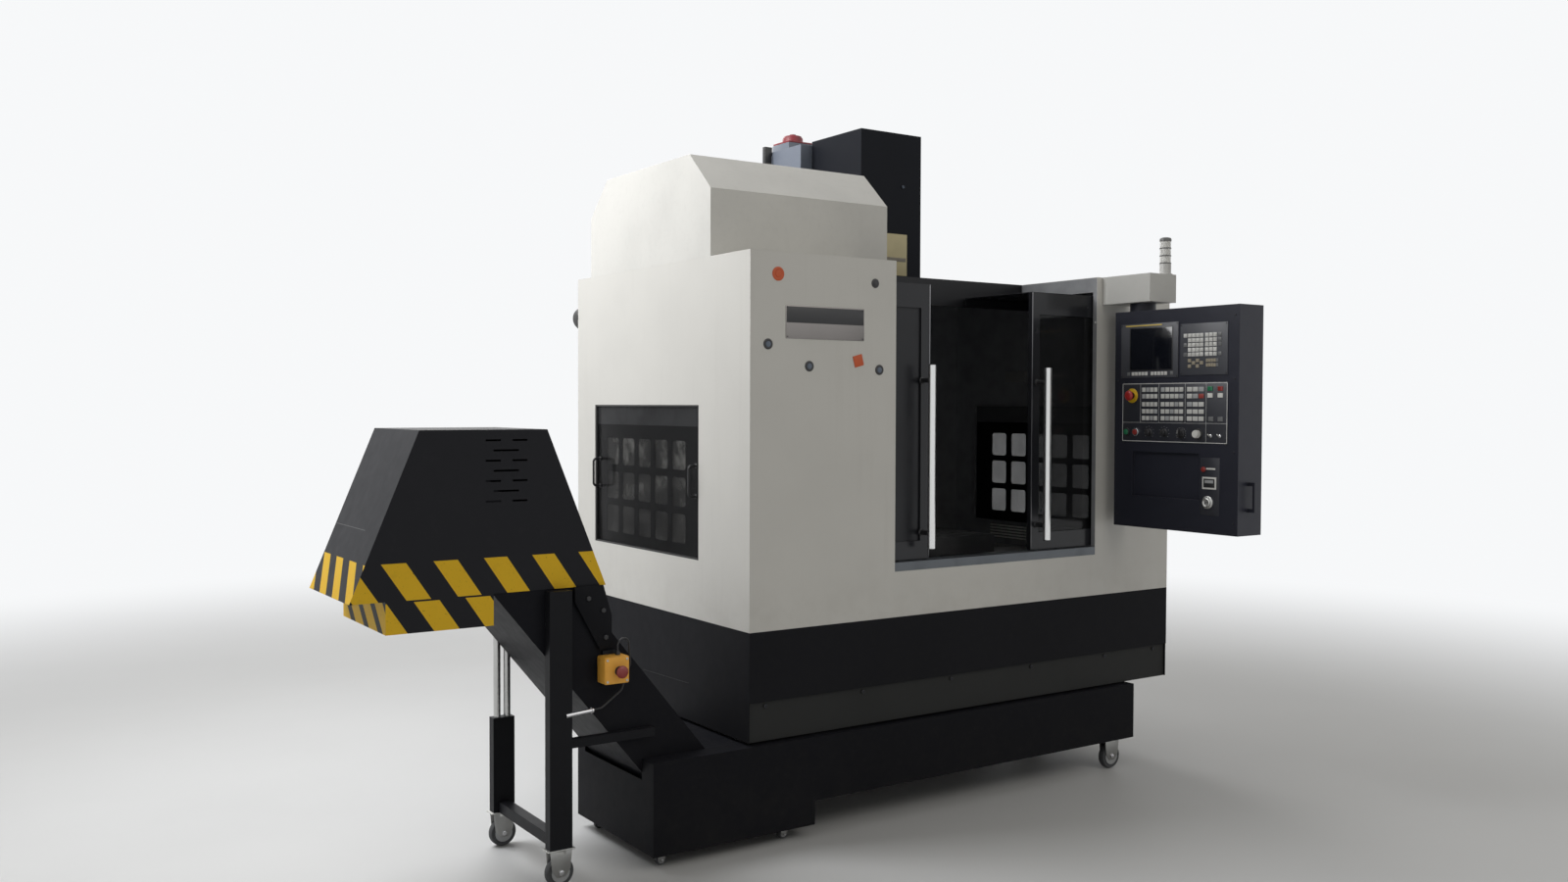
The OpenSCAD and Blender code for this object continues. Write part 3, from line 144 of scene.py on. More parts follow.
class Finish:
    """A material under construction."""

    NAMES = {"color": "Base Color", "metal": "Metallic", "rough": "Roughness", "coat": "Coat Weight",
             "coat_rough": "Coat Roughness", "spec": "Specular IOR Level", "alpha": "Alpha", "aniso": "Anisotropic"}

    def __init__(self, name):
        self.material = bpy.data.materials.new(name)
        self.material.use_nodes = True
        self.tree = self.material.node_tree
        self.shader = self.tree.nodes["Principled BSDF"]
        self.output = self.tree.nodes["Material Output"]
        self.spot = self.add("ShaderNodeTexCoord", out="Object")
        self.x, self.y, self.z = self.split(self.spot)
        self.nx, self.ny, self.nz = self.split(self.add("ShaderNodeNewGeometry", out="True Normal"))

    def add(self, kind, settings=None, values=None, out=0):
        return add_node(self.tree, kind, settings, values, out)

    def split(self, vector):
        parts = self.add("ShaderNodeSeparateXYZ", values={0: vector})
        return [parts.beside(i) for i in range(3)]

    def scaled(self, *by):
        return self.add("ShaderNodeVectorMath", {"operation": "MULTIPLY"}, {0: self.spot, 1: by})

    def noise(self, scale, detail=3.0, rough=0.5, vector=None):
        values = {"Vector": vector or self.spot, "Scale": scale, "Detail": detail, "Roughness": rough}
        return self.add("ShaderNodeTexNoise", None, values, "Fac")

    def mix(self, fac, a, b):
        """Colour a where fac is 0 and colour b where it is 1."""
        return self.add("ShaderNodeMix", {"data_type": "RGBA"}, {0: fac, 6: a, 7: b}, 2)

    def blend(self, fac, a, b):
        """Number a where fac is 0 and number b where it is 1."""
        return self.add("ShaderNodeMix", {"data_type": "FLOAT"}, {0: fac, 2: a, 3: b})

    def set(self, **k):
        for key, v in k.items():
            feed(self.tree, self.shader.inputs[self.NAMES[key]], v)

    def relief(self, height, depth, strength=1.0, edge=0.0):
        """Bump from a height field, over edges rounded by the given radius."""
        soft = self.add("ShaderNodeBevel", {"samples": 4}, {"Radius": edge}) if edge else None
        values = {"Strength": strength, "Distance": depth, "Height": height, "Normal": soft}
        feed(self.tree, self.shader.inputs["Normal"], self.add("ShaderNodeBump", None, values))

    def orange_peel(self, depth, strength):
        """Fine and coarse ripples of a sprayed coat."""
        self.relief(self.noise(420, 2) * 0.5 + self.noise(60, 2) * 0.5, depth, strength, 0.002)


def enamel(name, color, rough=0.35, peel=1.0, dirt=0.0, coat=0.0, low=0.0, high=0.0, spec=0.5):
    """Sprayed paint: orange peel, slight drift of colour, grime that gathers from high down to low."""
    m = Finish(name)
    c = m.mix(m.noise(3.1, 4).step(0.35, 0.75) * 0.5, color, darker(color, 0.82))
    grime = m.noise(38, 5, 0.65).step(0.45, 0.8) * dirt
    if high:
        grime = grime + (1.0 - m.z.step(low, high)) * m.noise(9, 5, 0.6).step(0.3, 0.7) * dirt * 1.2
    soil = (0.10, 0.085, 0.065) if max(color) > 0.05 else (0.032, 0.030, 0.027)
    m.set(color=m.mix(grime.lo(1.0), c, soil), rough=m.noise(21, 4) * 0.16 + (rough - 0.08) + grime * 0.2,
          coat=coat, coat_rough=0.08, spec=spec)
    m.orange_peel(0.0004 * peel, 0.35)
    return m.material


def brushed(name, color=(0.62, 0.62, 0.61), rough=0.3, along="x", smear=0.25):
    """Brushed sheet or bar: fine scratches along one axis, faint smears."""
    m = Finish(name)
    lines = m.noise(1.0, 4, 0.6, m.scaled(*(4 if axis == along else 260 for axis in "xyz")))
    stain = m.noise(7, 5, 0.6).step(0.45, 0.8) * smear
    m.set(color=m.mix(stain, m.mix(lines, darker(color, 0.86), color), darker(color, 0.55)), metal=1.0,
          rough=lines * 0.14 + (rough - 0.05) + stain * 0.3, aniso=0.4)
    m.relief(lines, 0.0002, 0.3, 0.001)
    return m.material


def plastic(name, color, rough, grain=1.0, coat=0.0):
    """Moulded plastic, rubber or print: fine grain and a slight drift of colour."""
    m = Finish(name)
    m.set(color=m.mix(m.noise(12, 4).step(0.3, 0.8) * 0.4, color, darker(color, 0.8)),
          rough=m.noise(90, 3) * 0.15 + (rough - 0.06), coat=coat, coat_rough=0.05)
    m.relief(m.noise(700, 2), 0.0002 * grain, 0.3, 0.0008)
    return m.material


def clouded(name, tint, film, thick, dim, spec=0.5, scale=6, rough=0.04, fade=None):
    """Thin sheet one sees through: a grey tint and blotches of dried coolant, fewer of them low down."""
    m = Finish(name)
    blot = m.noise(scale, 6, 0.62).step(0.4, 0.72)
    if fade:
        blot = blot * (m.z.step(*fade) * 0.4 + 0.6)
    m.set(color=m.mix(blot * dim, tint, film), alpha=blot * dim * 0.4 + thick, rough=blot * 0.16 + rough, spec=spec)
    m.relief(m.noise(5, 2), 0.0005, 0.15)
    return m.material


def two(name, base, other, mask, spec=0.5):
    """One finish outside the mask and another inside it, each given as colour, roughness and metal."""
    m = Finish(name)
    inside = mask(m)
    drift = m.noise(24, 4)
    shade = drift.step(0.3, 0.8) * 0.35
    a = m.mix(shade, base[0], darker(base[0], 0.75))
    b = m.mix(shade, other[0], darker(other[0], 0.8))
    m.set(color=m.mix(inside, a, b), rough=m.blend(inside, base[1], other[1]) + drift * 0.12 - 0.06,
          metal=m.blend(inside, base[2], other[2]), spec=spec)
    m.relief(m.noise(300, 2), 0.0004, 0.3, 0.0015)
    return m.material


def lined(name, outer, inner, mask, dirt=0.05):
    """Pale outer paint with streaks and splashes of dirt and a painted shade darker towards the bottom, dark paint on
    the faces towards the work space.
    """
    m = Finish(name)
    c = m.mix(m.noise(3.1, 4).step(0.35, 0.75) * 0.4, outer, darker(outer, 0.9))
    streak = m.noise(1.0, 5, 0.6, m.scaled(30, 30, 1.6)).step(0.52, 0.8)
    # low: painted shade, a mottled darkening towards the bottom of the housings, below 0.80 to 1.05 m
    low = (1.0 - m.z.step(0.80, 1.05)) * m.noise(9, 5, 0.6).step(0.35, 0.7)
    spots = m.noise(240, 3, 0.6).step(0.70, 0.76)
    # The brown mix holds real dirt in the streaks and splashes, and painted shade in the low band
    c = m.mix((streak * dirt + low * dirt * 2.2 + spots * 0.25).lo(1.0), c, (0.30, 0.27, 0.22))
    d = m.mix(m.noise(14, 5).step(0.3, 0.8) * 0.5, inner, darker(inner, 0.6))
    m.set(color=m.mix(mask(m), c, d), rough=m.noise(21, 4) * 0.16 + 0.28)
    m.orange_peel(0.0004, 0.3)
    return m.material


def stripes(along, z, lean, period, wide, low, high, first):
    """Slanting bands between two heights: 1 inside a band."""
    k = ((along - (high - z) * lean - first) / period).frac()
    return k.lt(wide / period) * z.gt(low) * z.lt(high)


def taped(name, front, left):
    """Dark paint with worn yellow bands on the front and the left side: period, width, low, high and first."""
    m = Finish(name)
    ahead = stripes(m.x, m.z, 0.675, *front) * m.ny.lt(-0.5)
    aside = stripes(m.y, m.z, -1.0, *left) * m.nx.lt(-0.3)
    tape = (ahead + aside).lo(1.0)
    worn = m.noise(130, 5, 0.7).step(0.62, 0.72)
    scuff = m.noise(16, 5, 0.6).step(0.55, 0.85)
    dust = m.nz.step(0.3, 0.9) * 0.10 + scuff * 0.03
    base = m.mix(dust, (0.0165, 0.017, 0.0205), (0.16, 0.155, 0.15))
    yellow = m.mix(scuff * 0.5, (0.84, 0.52, 0.03), (0.56, 0.34, 0.03))
    m.set(color=m.mix(tape * (1.0 - worn * 0.8), base, yellow), rough=m.noise(21, 4) * 0.16 + 0.40, spec=0.12)
    m.relief(m.noise(420, 2) * 0.4 + tape * 0.6, 0.0005, 0.35, 0.0018)
    return m.material


def work_space(m):
    """The housings' faces towards the work space, under the roof."""
    return m.y.gt(from_y(2)) * m.y.lt(from_y(1454)) * m.x.gt(from_x(2)) * m.x.lt(from_x(2278)) * m.z.lt(2.1985)


def ground_ways(m):
    """The ground faces of the saddle: its X ways, and its ends on the Y ways."""
    return (m.z.gt(0.8605) + m.y.lt(from_y(659.5)) + m.y.gt(from_y(1120.5))).lo(1.0)


def leg_rods(m):
    """The two bare rods of the conveyor's rear leg."""
    return m.z.gt(0.4805) * m.z.lt(0.8195) * m.y.gt(from_y(540))


WHITE = (0.66, 0.652, 0.62)
INNER = (0.32, 0.33, 0.35)
IRON = ((0.11, 0.12, 0.14), 0.45, 0.0)
BRIGHT = ((0.6, 0.6, 0.59), 0.3, 1.0)

# Plastic, rubber and print: name, colour, roughness, then grain and coat where they are their own
PLASTICS = dict(
    black=("black_plastic", (0.018, 0.018, 0.02), 0.4),
    keys=("key_grey", (0.42, 0.43, 0.44), 0.45),
    pale=("pale_plastic", (0.78, 0.78, 0.75), 0.4),
    red=("red_plastic", (0.40, 0.022, 0.02), 0.35, 1.0, 0.15),
    red_dark=("red_cap_dark", (0.26, 0.03, 0.04), 0.4),
    red_dim=("red_button_dim", (0.30, 0.03, 0.025), 0.35, 1.0, 0.2),
    green=("green_plastic", (0.02, 0.20, 0.09), 0.35, 1.0, 0.2),
    yellow=("yellow_plastic", (0.82, 0.52, 0.02), 0.38),
    rubber=("grey_rubber", (0.12, 0.12, 0.125), 0.65, 2.0),
    bead=("rubber_bead", (0.02, 0.02, 0.02), 0.5),
    white_line=("white_print", (0.75, 0.75, 0.74), 0.5),
    panel_face=("panel_face", (0.03, 0.032, 0.042), 0.35),
    bezel=("bezel_grey", (0.06, 0.063, 0.075), 0.42),
    screen=("screen_dark", (0.006, 0.007, 0.011), 0.12, 0.1, 0.2),
    key_pale=("key_pale", (0.64, 0.64, 0.62), 0.45),
    key_dim=("key_dim", (0.16, 0.165, 0.17), 0.45),
    key_red=("key_red", (0.33, 0.05, 0.04), 0.45),
    key_tan=("key_tan", (0.33, 0.29, 0.22), 0.45),
    amber=("amber_strip", (0.7, 0.52, 0.1), 0.35),
    plug_blue=("plug_blue", (0.11, 0.14, 0.19), 0.4),
    box_orange=("box_orange", (1.0, 0.50, 0.07), 0.45),
    plug_orange=("plug_orange", (0.62, 0.1, 0.02), 0.4),
    tyre=("wheel_tyre", (0.05, 0.052, 0.055), 0.6, 2.0),
    wheel=("wheel_core", (0.36, 0.37, 0.38), 0.5),
    lens=("lens_frost", (0.80, 0.80, 0.78), 0.16, 0.5, 0.6),
    lamp_foot=("lamp_foot_grey", (0.5, 0.5, 0.49), 0.4),
    ring_dark=("lamp_ring", (0.12, 0.12, 0.12), 0.4),
    label_cream=("label_cream", (0.62, 0.55, 0.33), 0.5),
    label_grey=("label_grey", (0.22, 0.2, 0.16), 0.5),
    wall_block=("wall_block", (0.3, 0.3, 0.3), 0.5),
)

FINISHES = dict(
    white=lined("white_coat_lined", WHITE, INNER, work_space),
    hood_white=enamel("hood_coat", (0.68, 0.675, 0.645), 0.34, dirt=0.05),
    skirt=enamel("skirt_coat", (0.0135, 0.0138, 0.0165), 0.55, 1.6, dirt=0.10, low=0.3, high=0.8, spec=0.06),
    plate=enamel("plate_coat", (0.034, 0.035, 0.035), 0.5, dirt=0.12, spec=0.1),
    tank=enamel("tank_coat", (0.0115, 0.0118, 0.0145), 0.5, 1.4, dirt=0.16, low=0.05, high=0.4, spec=0.05),
    door=enamel("door_coat", (0.019, 0.020, 0.024), 0.24, 0.5, dirt=0.03, coat=0.15, spec=0.25),
    beam=enamel("beam_coat", (0.013, 0.0135, 0.016), 0.35, dirt=0.04, spec=0.25),
    roof=enamel("roof_coat", (0.02, 0.021, 0.024), 0.45, dirt=0.1, spec=0.1),
    head=enamel("head_coat", (0.17, 0.195, 0.245), 0.4, 1.5, dirt=0.1),
    cover=enamel("cover_coat", (0.0145, 0.016, 0.021), 0.4, dirt=0.05, spec=0.06),
    bracket=enamel("bracket_coat", (0.26, 0.29, 0.33), 0.4, dirt=0.1),
    arm_box=enamel("arm_box_coat", (0.56, 0.56, 0.54), 0.38, dirt=0.04),
    navy=enamel("navy_coat", (0.021, 0.0225, 0.034), 0.42, 0.8, dirt=0.04, spec=0.3),
    conveyor=enamel("conveyor_coat", (0.0125, 0.013, 0.0165), 0.45, 1.4, dirt=0.12, low=0.3, high=0.9, spec=0.05),
    gusset=enamel("gusset_coat", (0.0125, 0.013, 0.0155), 0.45, 1.2, dirt=0.08, spec=0.05),
    hood_tape=taped("conveyor_hood_coat", (0.1688, 0.080, 1.0, 1.130, from_x(-1324)),
                    (0.148, 0.076, 1.0, 1.130, from_y(309))),
    chute_tape=taped("conveyor_chute_coat", (0.1705, 0.084, 0.80, 1.004, from_x(-1220)),
                     (0.148, 0.094, 0.80, 1.004, from_y(250))),
    cabinet=enamel("cabinet_coat", (0.64, 0.64, 0.61), 0.4, dirt=0.06),
    foot=enamel("foot_iron", (0.12, 0.12, 0.12), 0.6, 2.0, dirt=0.3),
    steel=brushed("steel_sheet", along="x"),
    sill=brushed("sill_steel", (0.13, 0.14, 0.15), 0.42, "x", 0.4),
    steel_y=brushed("steel_sheet_y", along="y"),
    bar=brushed("handle_tube", (0.72, 0.72, 0.71), 0.26, "z", 0.08),
    ground=brushed("ground_steel", (0.56, 0.56, 0.57), 0.22, "z", 0.1),
    belt=brushed("belt_plate", (0.34, 0.34, 0.34), 0.42, "y", 0.5),
    table=brushed("table_top", (0.42, 0.42, 0.42), 0.34, "x", 0.4),
    screw=brushed("black_screw", (0.06, 0.06, 0.065), 0.45, "z"),
    zinc=brushed("zinc_plate", (0.6, 0.6, 0.58), 0.36, "z", 0.4),
    plate_bare=brushed("bare_plate", (0.24, 0.225, 0.215), 0.4, "x", 0.1),
    edge_dark=brushed("edge_dark", (0.2, 0.2, 0.21), 0.3, "z", 0.1),
    fork=brushed("fork_steel", (0.38, 0.38, 0.37), 0.34, "z", 0.3),
    glass=clouded("tinted_glass", (0.012, 0.0125, 0.014), (0.05, 0.05, 0.05), 0.55, 0.2, 0.3),
    glass_deep=clouded("tinted_glass_deep", (0.021, 0.022, 0.026), (0.03, 0.03, 0.03), 0.97, 0.2, 0.25, rough=0.3),
    pane=clouded("side_pane", (0.006, 0.006, 0.007), (0.03, 0.03, 0.03), 0.28, 0.25, 0.05),
    film=clouded("dirty_pane", (0.066, 0.066, 0.064), (0.46, 0.46, 0.44), 0.5, 1.0, 0.1, 8, fade=(1.15, 1.45)),
    # The far wall's cells: a lighter, greener copy of the dirty pane, painted light that stands in for the hall's
    # light shining through them from behind
    film_far=clouded("dirty_pane_far_painted_backlight", (0.16, 0.178, 0.175), (0.22, 0.24, 0.235), 0.55, 0.12, 0.1, 9),
    casting=two("machine_casting", IRON, BRIGHT, lambda m: m.z.gt(0.6202) * m.z.lt(0.72)),
    column=two("column_casting", IRON, BRIGHT, lambda m: m.y.lt(from_y(1429.5)) * m.z.gt(1.1)),
    saddle=two("saddle_casting", IRON, BRIGHT, ground_ways),
    leg=two("leg_coat", ((0.0125, 0.013, 0.0155), 0.42, 0.0), ((0.62, 0.62, 0.61), 0.22, 1.0), leg_rods, 0.1),
    disc=two("disc_metal", ((0.5, 0.5, 0.52), 0.35, 1.0), ((0.02, 0.022, 0.024), 0.45, 0.0),
             lambda m: m.x.lt(from_x(571))),
    guard=two("guard_coat", ((0.006, 0.0062, 0.0068), 0.5, 0.0), ((0.112, 0.114, 0.12), 0.45, 0.0),
              lambda m: m.z.gt(1.549), 0.1),
)
FINISHES.update((key, plastic(*row)) for key, row in PLASTICS.items())

NODES_BY_FINISH = dict(
    casting="base_casting", foot="levelling_feet", column="column", tank="coolant_tank",
    rubber="casters", skirt="skirt_panels", plate="base_cover_plate", sill="door_sill",
    white="left_housing right_housing lower_front_panel", beam="guide_beam", roof="rear_enclosure",
    hood_white="magazine_hood", pane="window_panes", guard="window_guards", door="left_door right_door",
    glass_deep="left_door_glass", glass="right_door_glass", bar="left_door_handle right_door_handle",
    saddle="saddle", table="table table_top", steel="front_way_cover", disc="tool_disc",
    steel_y="left_way_cover_1 left_way_cover_2 right_way_cover_1 right_way_cover_2",
    head="spindle_head z_motor", cover="head_cover", bracket="magazine_bracket",
    ground="spindle arm_sleeve change_arm conveyor_shaft", arm_box="pendant_arm_box", lens="tower_light",
    black="exchange_pot display_unit keyboard_unit operator_panel mode_knob main_switch", navy="pendant_box",
    red="pendant_estop stop_button conveyor_estop_knob", green="start_button", pale="override_knob",
    conveyor="conveyor_casing", belt="conveyor_belt", hood_tape="conveyor_hood", leg="conveyor_legs",
    box_orange="conveyor_estop_box", cabinet="electrical_cabinet cabinet_door",
)
for key, names in NODES_BY_FINISH.items():
    for node in names.split():
        NODES[node].data.materials.clear()
        NODES[node].data.materials.append(FINISHES[key])

# The conveyor's hood ends here and its chute hangs below, with bands of its own
CHUTE_TOP = 1.008
NODES["conveyor_hood"].data.materials.append(FINISHES["chute_tape"])
for face in NODES["conveyor_hood"].data.polygons:
    if face.center.z < CHUTE_TOP:
        face.material_index = 1

# Turn that brings a shape's own Z to an axis and keeps its Y upright on a wall
TURN = {"z": (0, 0, 0), "-y": (90, 0, 0), "x": (90, 0, 90), "-x": (90, 0, -90)}


class Growth:
    """A geometry tree with named sizes in millimetres, grown on points or along a path."""

    def __init__(self, name, **sizes):
        self.tree = bpy.data.node_groups.new(name, "GeometryNodeTree")
        self.ids = {}
        self.kinds = {key: type(v) for key, v in sizes.items()}
        self.socket("Base", "Geometry")
        for key, v in sizes.items():
            self.socket(key, "Int" if self.kinds[key] is int else "Float").default_value = v
        self.socket("Turn", "Vector")
        self.socket("Finish", "Material")
        self.tree.interface.new_socket("Piece", in_out="OUTPUT", socket_type="NodeSocketGeometry")
        self.base = add_node(self.tree, "NodeGroupInput", out="Base")

    def socket(self, key, kind):
        s = self.tree.interface.new_socket(key, in_out="INPUT", socket_type="NodeSocket" + kind)
        self.ids[key] = s.identifier
        return s

    def __getitem__(self, key):
        """A named size, as the tree gets it."""
        return self.base.beside(key)

    def add(self, kind, settings=None, values=None, out=0):
        return add_node(self.tree, "GeometryNode" + kind, settings, values, out)

    def vec(self, x=0.0, y=0.0, z=0.0):
        return add_node(self.tree, "ShaderNodeCombineXYZ", None, {0: x, 1: y, 2: z})

    def moved(self, shape, x=0.0, y=0.0, z=0.0):
        return self.add("Transform", None, {"Geometry": shape, "Translation": self.vec(x, y, z)})

    def circle(self, sides, radius):
        return self.add("CurvePrimitiveCircle", {"mode": "RADIUS"}, {"Resolution": sides, "Radius": radius})

    def rectangle(self, wide, high):
        return self.add("CurvePrimitiveQuadrilateral", {"mode": "RECTANGLE"}, {"Width": wide, "Height": high})

    def rounded(self, curve, steps, radius):
        return self.add("FilletCurve", {"mode": "POLY"},
                        {"Curve": curve, "Count": steps, "Radius": radius, "Limit Radius": True})

    def drawn(self, shape, top, rise, share=1.0):
        """The selected face pushed along by a rise and drawn in to a share of its size."""
        out = self.add("ExtrudeMesh", {"mode": "FACES"},
                       {"Mesh": shape, "Selection": top, "Offset Scale": rise, "Individual": False})
        ring = out.beside("Top")
        values = {"Geometry": out, "Selection": ring, "Scale": share}
        return self.add("ScaleElements", {"domain": "FACE"}, values), ring

    def joined(self, *shapes):
        both = self.add("JoinGeometry")
        for s in shapes:
            feed(self.tree, both.sock.node.inputs[0], s)
        return both

    def close(self, shape, on_points=True):
        """Copies the shape to the points where asked, then realizes it and sets its material."""
        if on_points:
            turn = add_node(self.tree, "FunctionNodeEulerToRotation", None, {0: self["Turn"]})
            shape = self.add("InstanceOnPoints", None, {"Points": self.base, "Instance": shape, "Rotation": turn})
        real = self.add("RealizeInstances", None, {0: shape})
        done = self.add("SetMaterial", None, {"Geometry": real, "Material": self["Finish"]})
        add_node(self.tree, "NodeGroupOutput", None, {0: done})
        return self

    def grow(self, points, edges, axis, finish, sizes):
        base = bpy.data.meshes.new("base_points")
        base.from_pydata([tuple(p) for p in points], edges, [])
        ob = new_object("growing", base)
        mod = ob.modifiers.new("grow", "NODES")
        mod.node_group = self.tree
        mod[self.ids["Turn"]] = [math.radians(a) for a in TURN[axis]]
        mod[self.ids["Finish"]] = finish
        for key, v in sizes.items():
            mod[self.ids[key]] = self.kinds[key](v)
        me = bpy.data.meshes.new_from_object(ob.evaluated_get(bpy.context.evaluated_depsgraph_get()))
        ob.modifiers.clear()
        bpy.data.objects.remove(ob)
        bpy.data.meshes.remove(base)
        return me


def screw_tree():
    """Socket heads: a barrel with a chamfered rim and a sunk socket."""
    g = Growth("socket_screws", Radius=4.0)
    r = g["Radius"]
    barrel = g.add("MeshCylinder", {"fill_type": "NGON"}, {"Vertices": 18, "Radius": r, "Depth": r * 0.8})
    up = g.moved(barrel, z=r * 0.4)
    rim, top = g.drawn(up, barrel.beside("Top"), r * 0.12, 0.86)
    lip, inner = g.drawn(rim, top, 0.002, 0.6)
    return g.close(g.drawn(lip, inner, r * -0.5)[0])


def key_tree():
    """Membrane keys, lamps and slats: low blocks with a drawn-in top."""
    g = Growth("raised_keys", Width=16.0, Height=16.0, Rise=3.0, Draw=0.88)
    rise = g["Rise"]
    slab = g.add("MeshCube", None, {"Size": g.vec(g["Width"], g["Height"], rise)})
    up = g.moved(slab, z=rise * 0.5)
    normal = g.add("InputNormal")
    nz = add_node(g.tree, "ShaderNodeSeparateXYZ", None, {0: normal}, 2)
    return g.close(g.drawn(up, nz.gt(0.5), rise * 0.25, g["Draw"])[0])


def pin_tree():
    """Round pins: the marks of a dial, the flutes of a knob."""
    g = Growth("round_pins", Radius=1.0, Rise=1.0, Sides=10)
    rise = g["Rise"]
    pin = g.add("MeshCylinder", {"fill_type": "NGON"},
                {"Vertices": g["Sides"], "Radius": g["Radius"], "Depth": rise})
    return g.close(g.moved(pin, z=rise * 0.5))


def rib_tree():
    """Rings stacked along the axis: the ribs of a lamp lens."""
    g = Growth("stacked_ribs", Radius=22.5, Thick=0.7, Pitch=2.2, Count=12)
    spots = g.add("MeshLine", {"mode": "OFFSET", "count_mode": "TOTAL"},
                  {"Count": g["Count"], "Offset": g.vec(z=g["Pitch"])})
    hoop = g.add("CurveToMesh", None,
                 {"Curve": g.circle(48, g["Radius"]), "Profile Curve": g.circle(8, g["Thick"])})
    return g.close(g.add("InstanceOnPoints", None, {"Points": spots, "Instance": hoop}))


def pipe_tree():
    """A round bar along a path, its corners turned on a radius."""
    g = Growth("bent_pipe", Radius=4.0, Bend=10.0, Sides=12)
    bent = g.rounded(g.add("MeshToCurve", None, {"Mesh": g.base}), 7, g["Bend"])
    ring = g.circle(g["Sides"], g["Radius"])
    bar = g.add("CurveToMesh", None, {"Curve": bent, "Profile Curve": ring, "Fill Caps": True})
    return g.close(bar, on_points=False)


def plate_tree():
    """A plate with rows of rounded openings."""
    g = Growth("pierced_plate", Width=900.0, Height=600.0, Thick=6.0, Across=5, Up=3, PitchX=145.0, PitchY=146.0,
               CellX=110.0, CellY=116.0, Corner=14.0, ShiftX=0.0, ShiftY=0.0)
    cell = g.rounded(g.rectangle(g["CellX"], g["CellY"]), 5, g["Corner"])
    across, up = g["Across"], g["Up"]
    grid = g.add("MeshGrid", None, {"Size X": g["PitchX"] * (across - 1.0), "Vertices X": across,
                                    "Size Y": g["PitchY"] * (up - 1.0), "Vertices Y": up})
    spots = g.moved(grid, g["ShiftX"], g["ShiftY"])
    cells = g.add("InstanceOnPoints", None, {"Points": spots, "Instance": cell})
    rim = g.rectangle(g["Width"], g["Height"])
    outline = g.joined(rim, g.add("RealizeInstances", None, {0: cells}))
    sheet = g.add("FillCurve", {"mode": "TRIANGLES"}, {"Curve": outline})
    front = g.add("ExtrudeMesh", {"mode": "FACES"},
                  {"Mesh": sheet, "Offset Scale": g["Thick"], "Individual": False})
    both = g.joined(front, g.add("FlipFaces", None, {"Mesh": sheet}))
    return g.close(g.add("MergeByDistance", None, {"Geometry": both, "Distance": 0.01}))


TREES = {"screws": screw_tree(), "keys": key_tree(), "pins": pin_tree(), "ribs": rib_tree(), "pipe": pipe_tree(),
         "plate": plate_tree()}


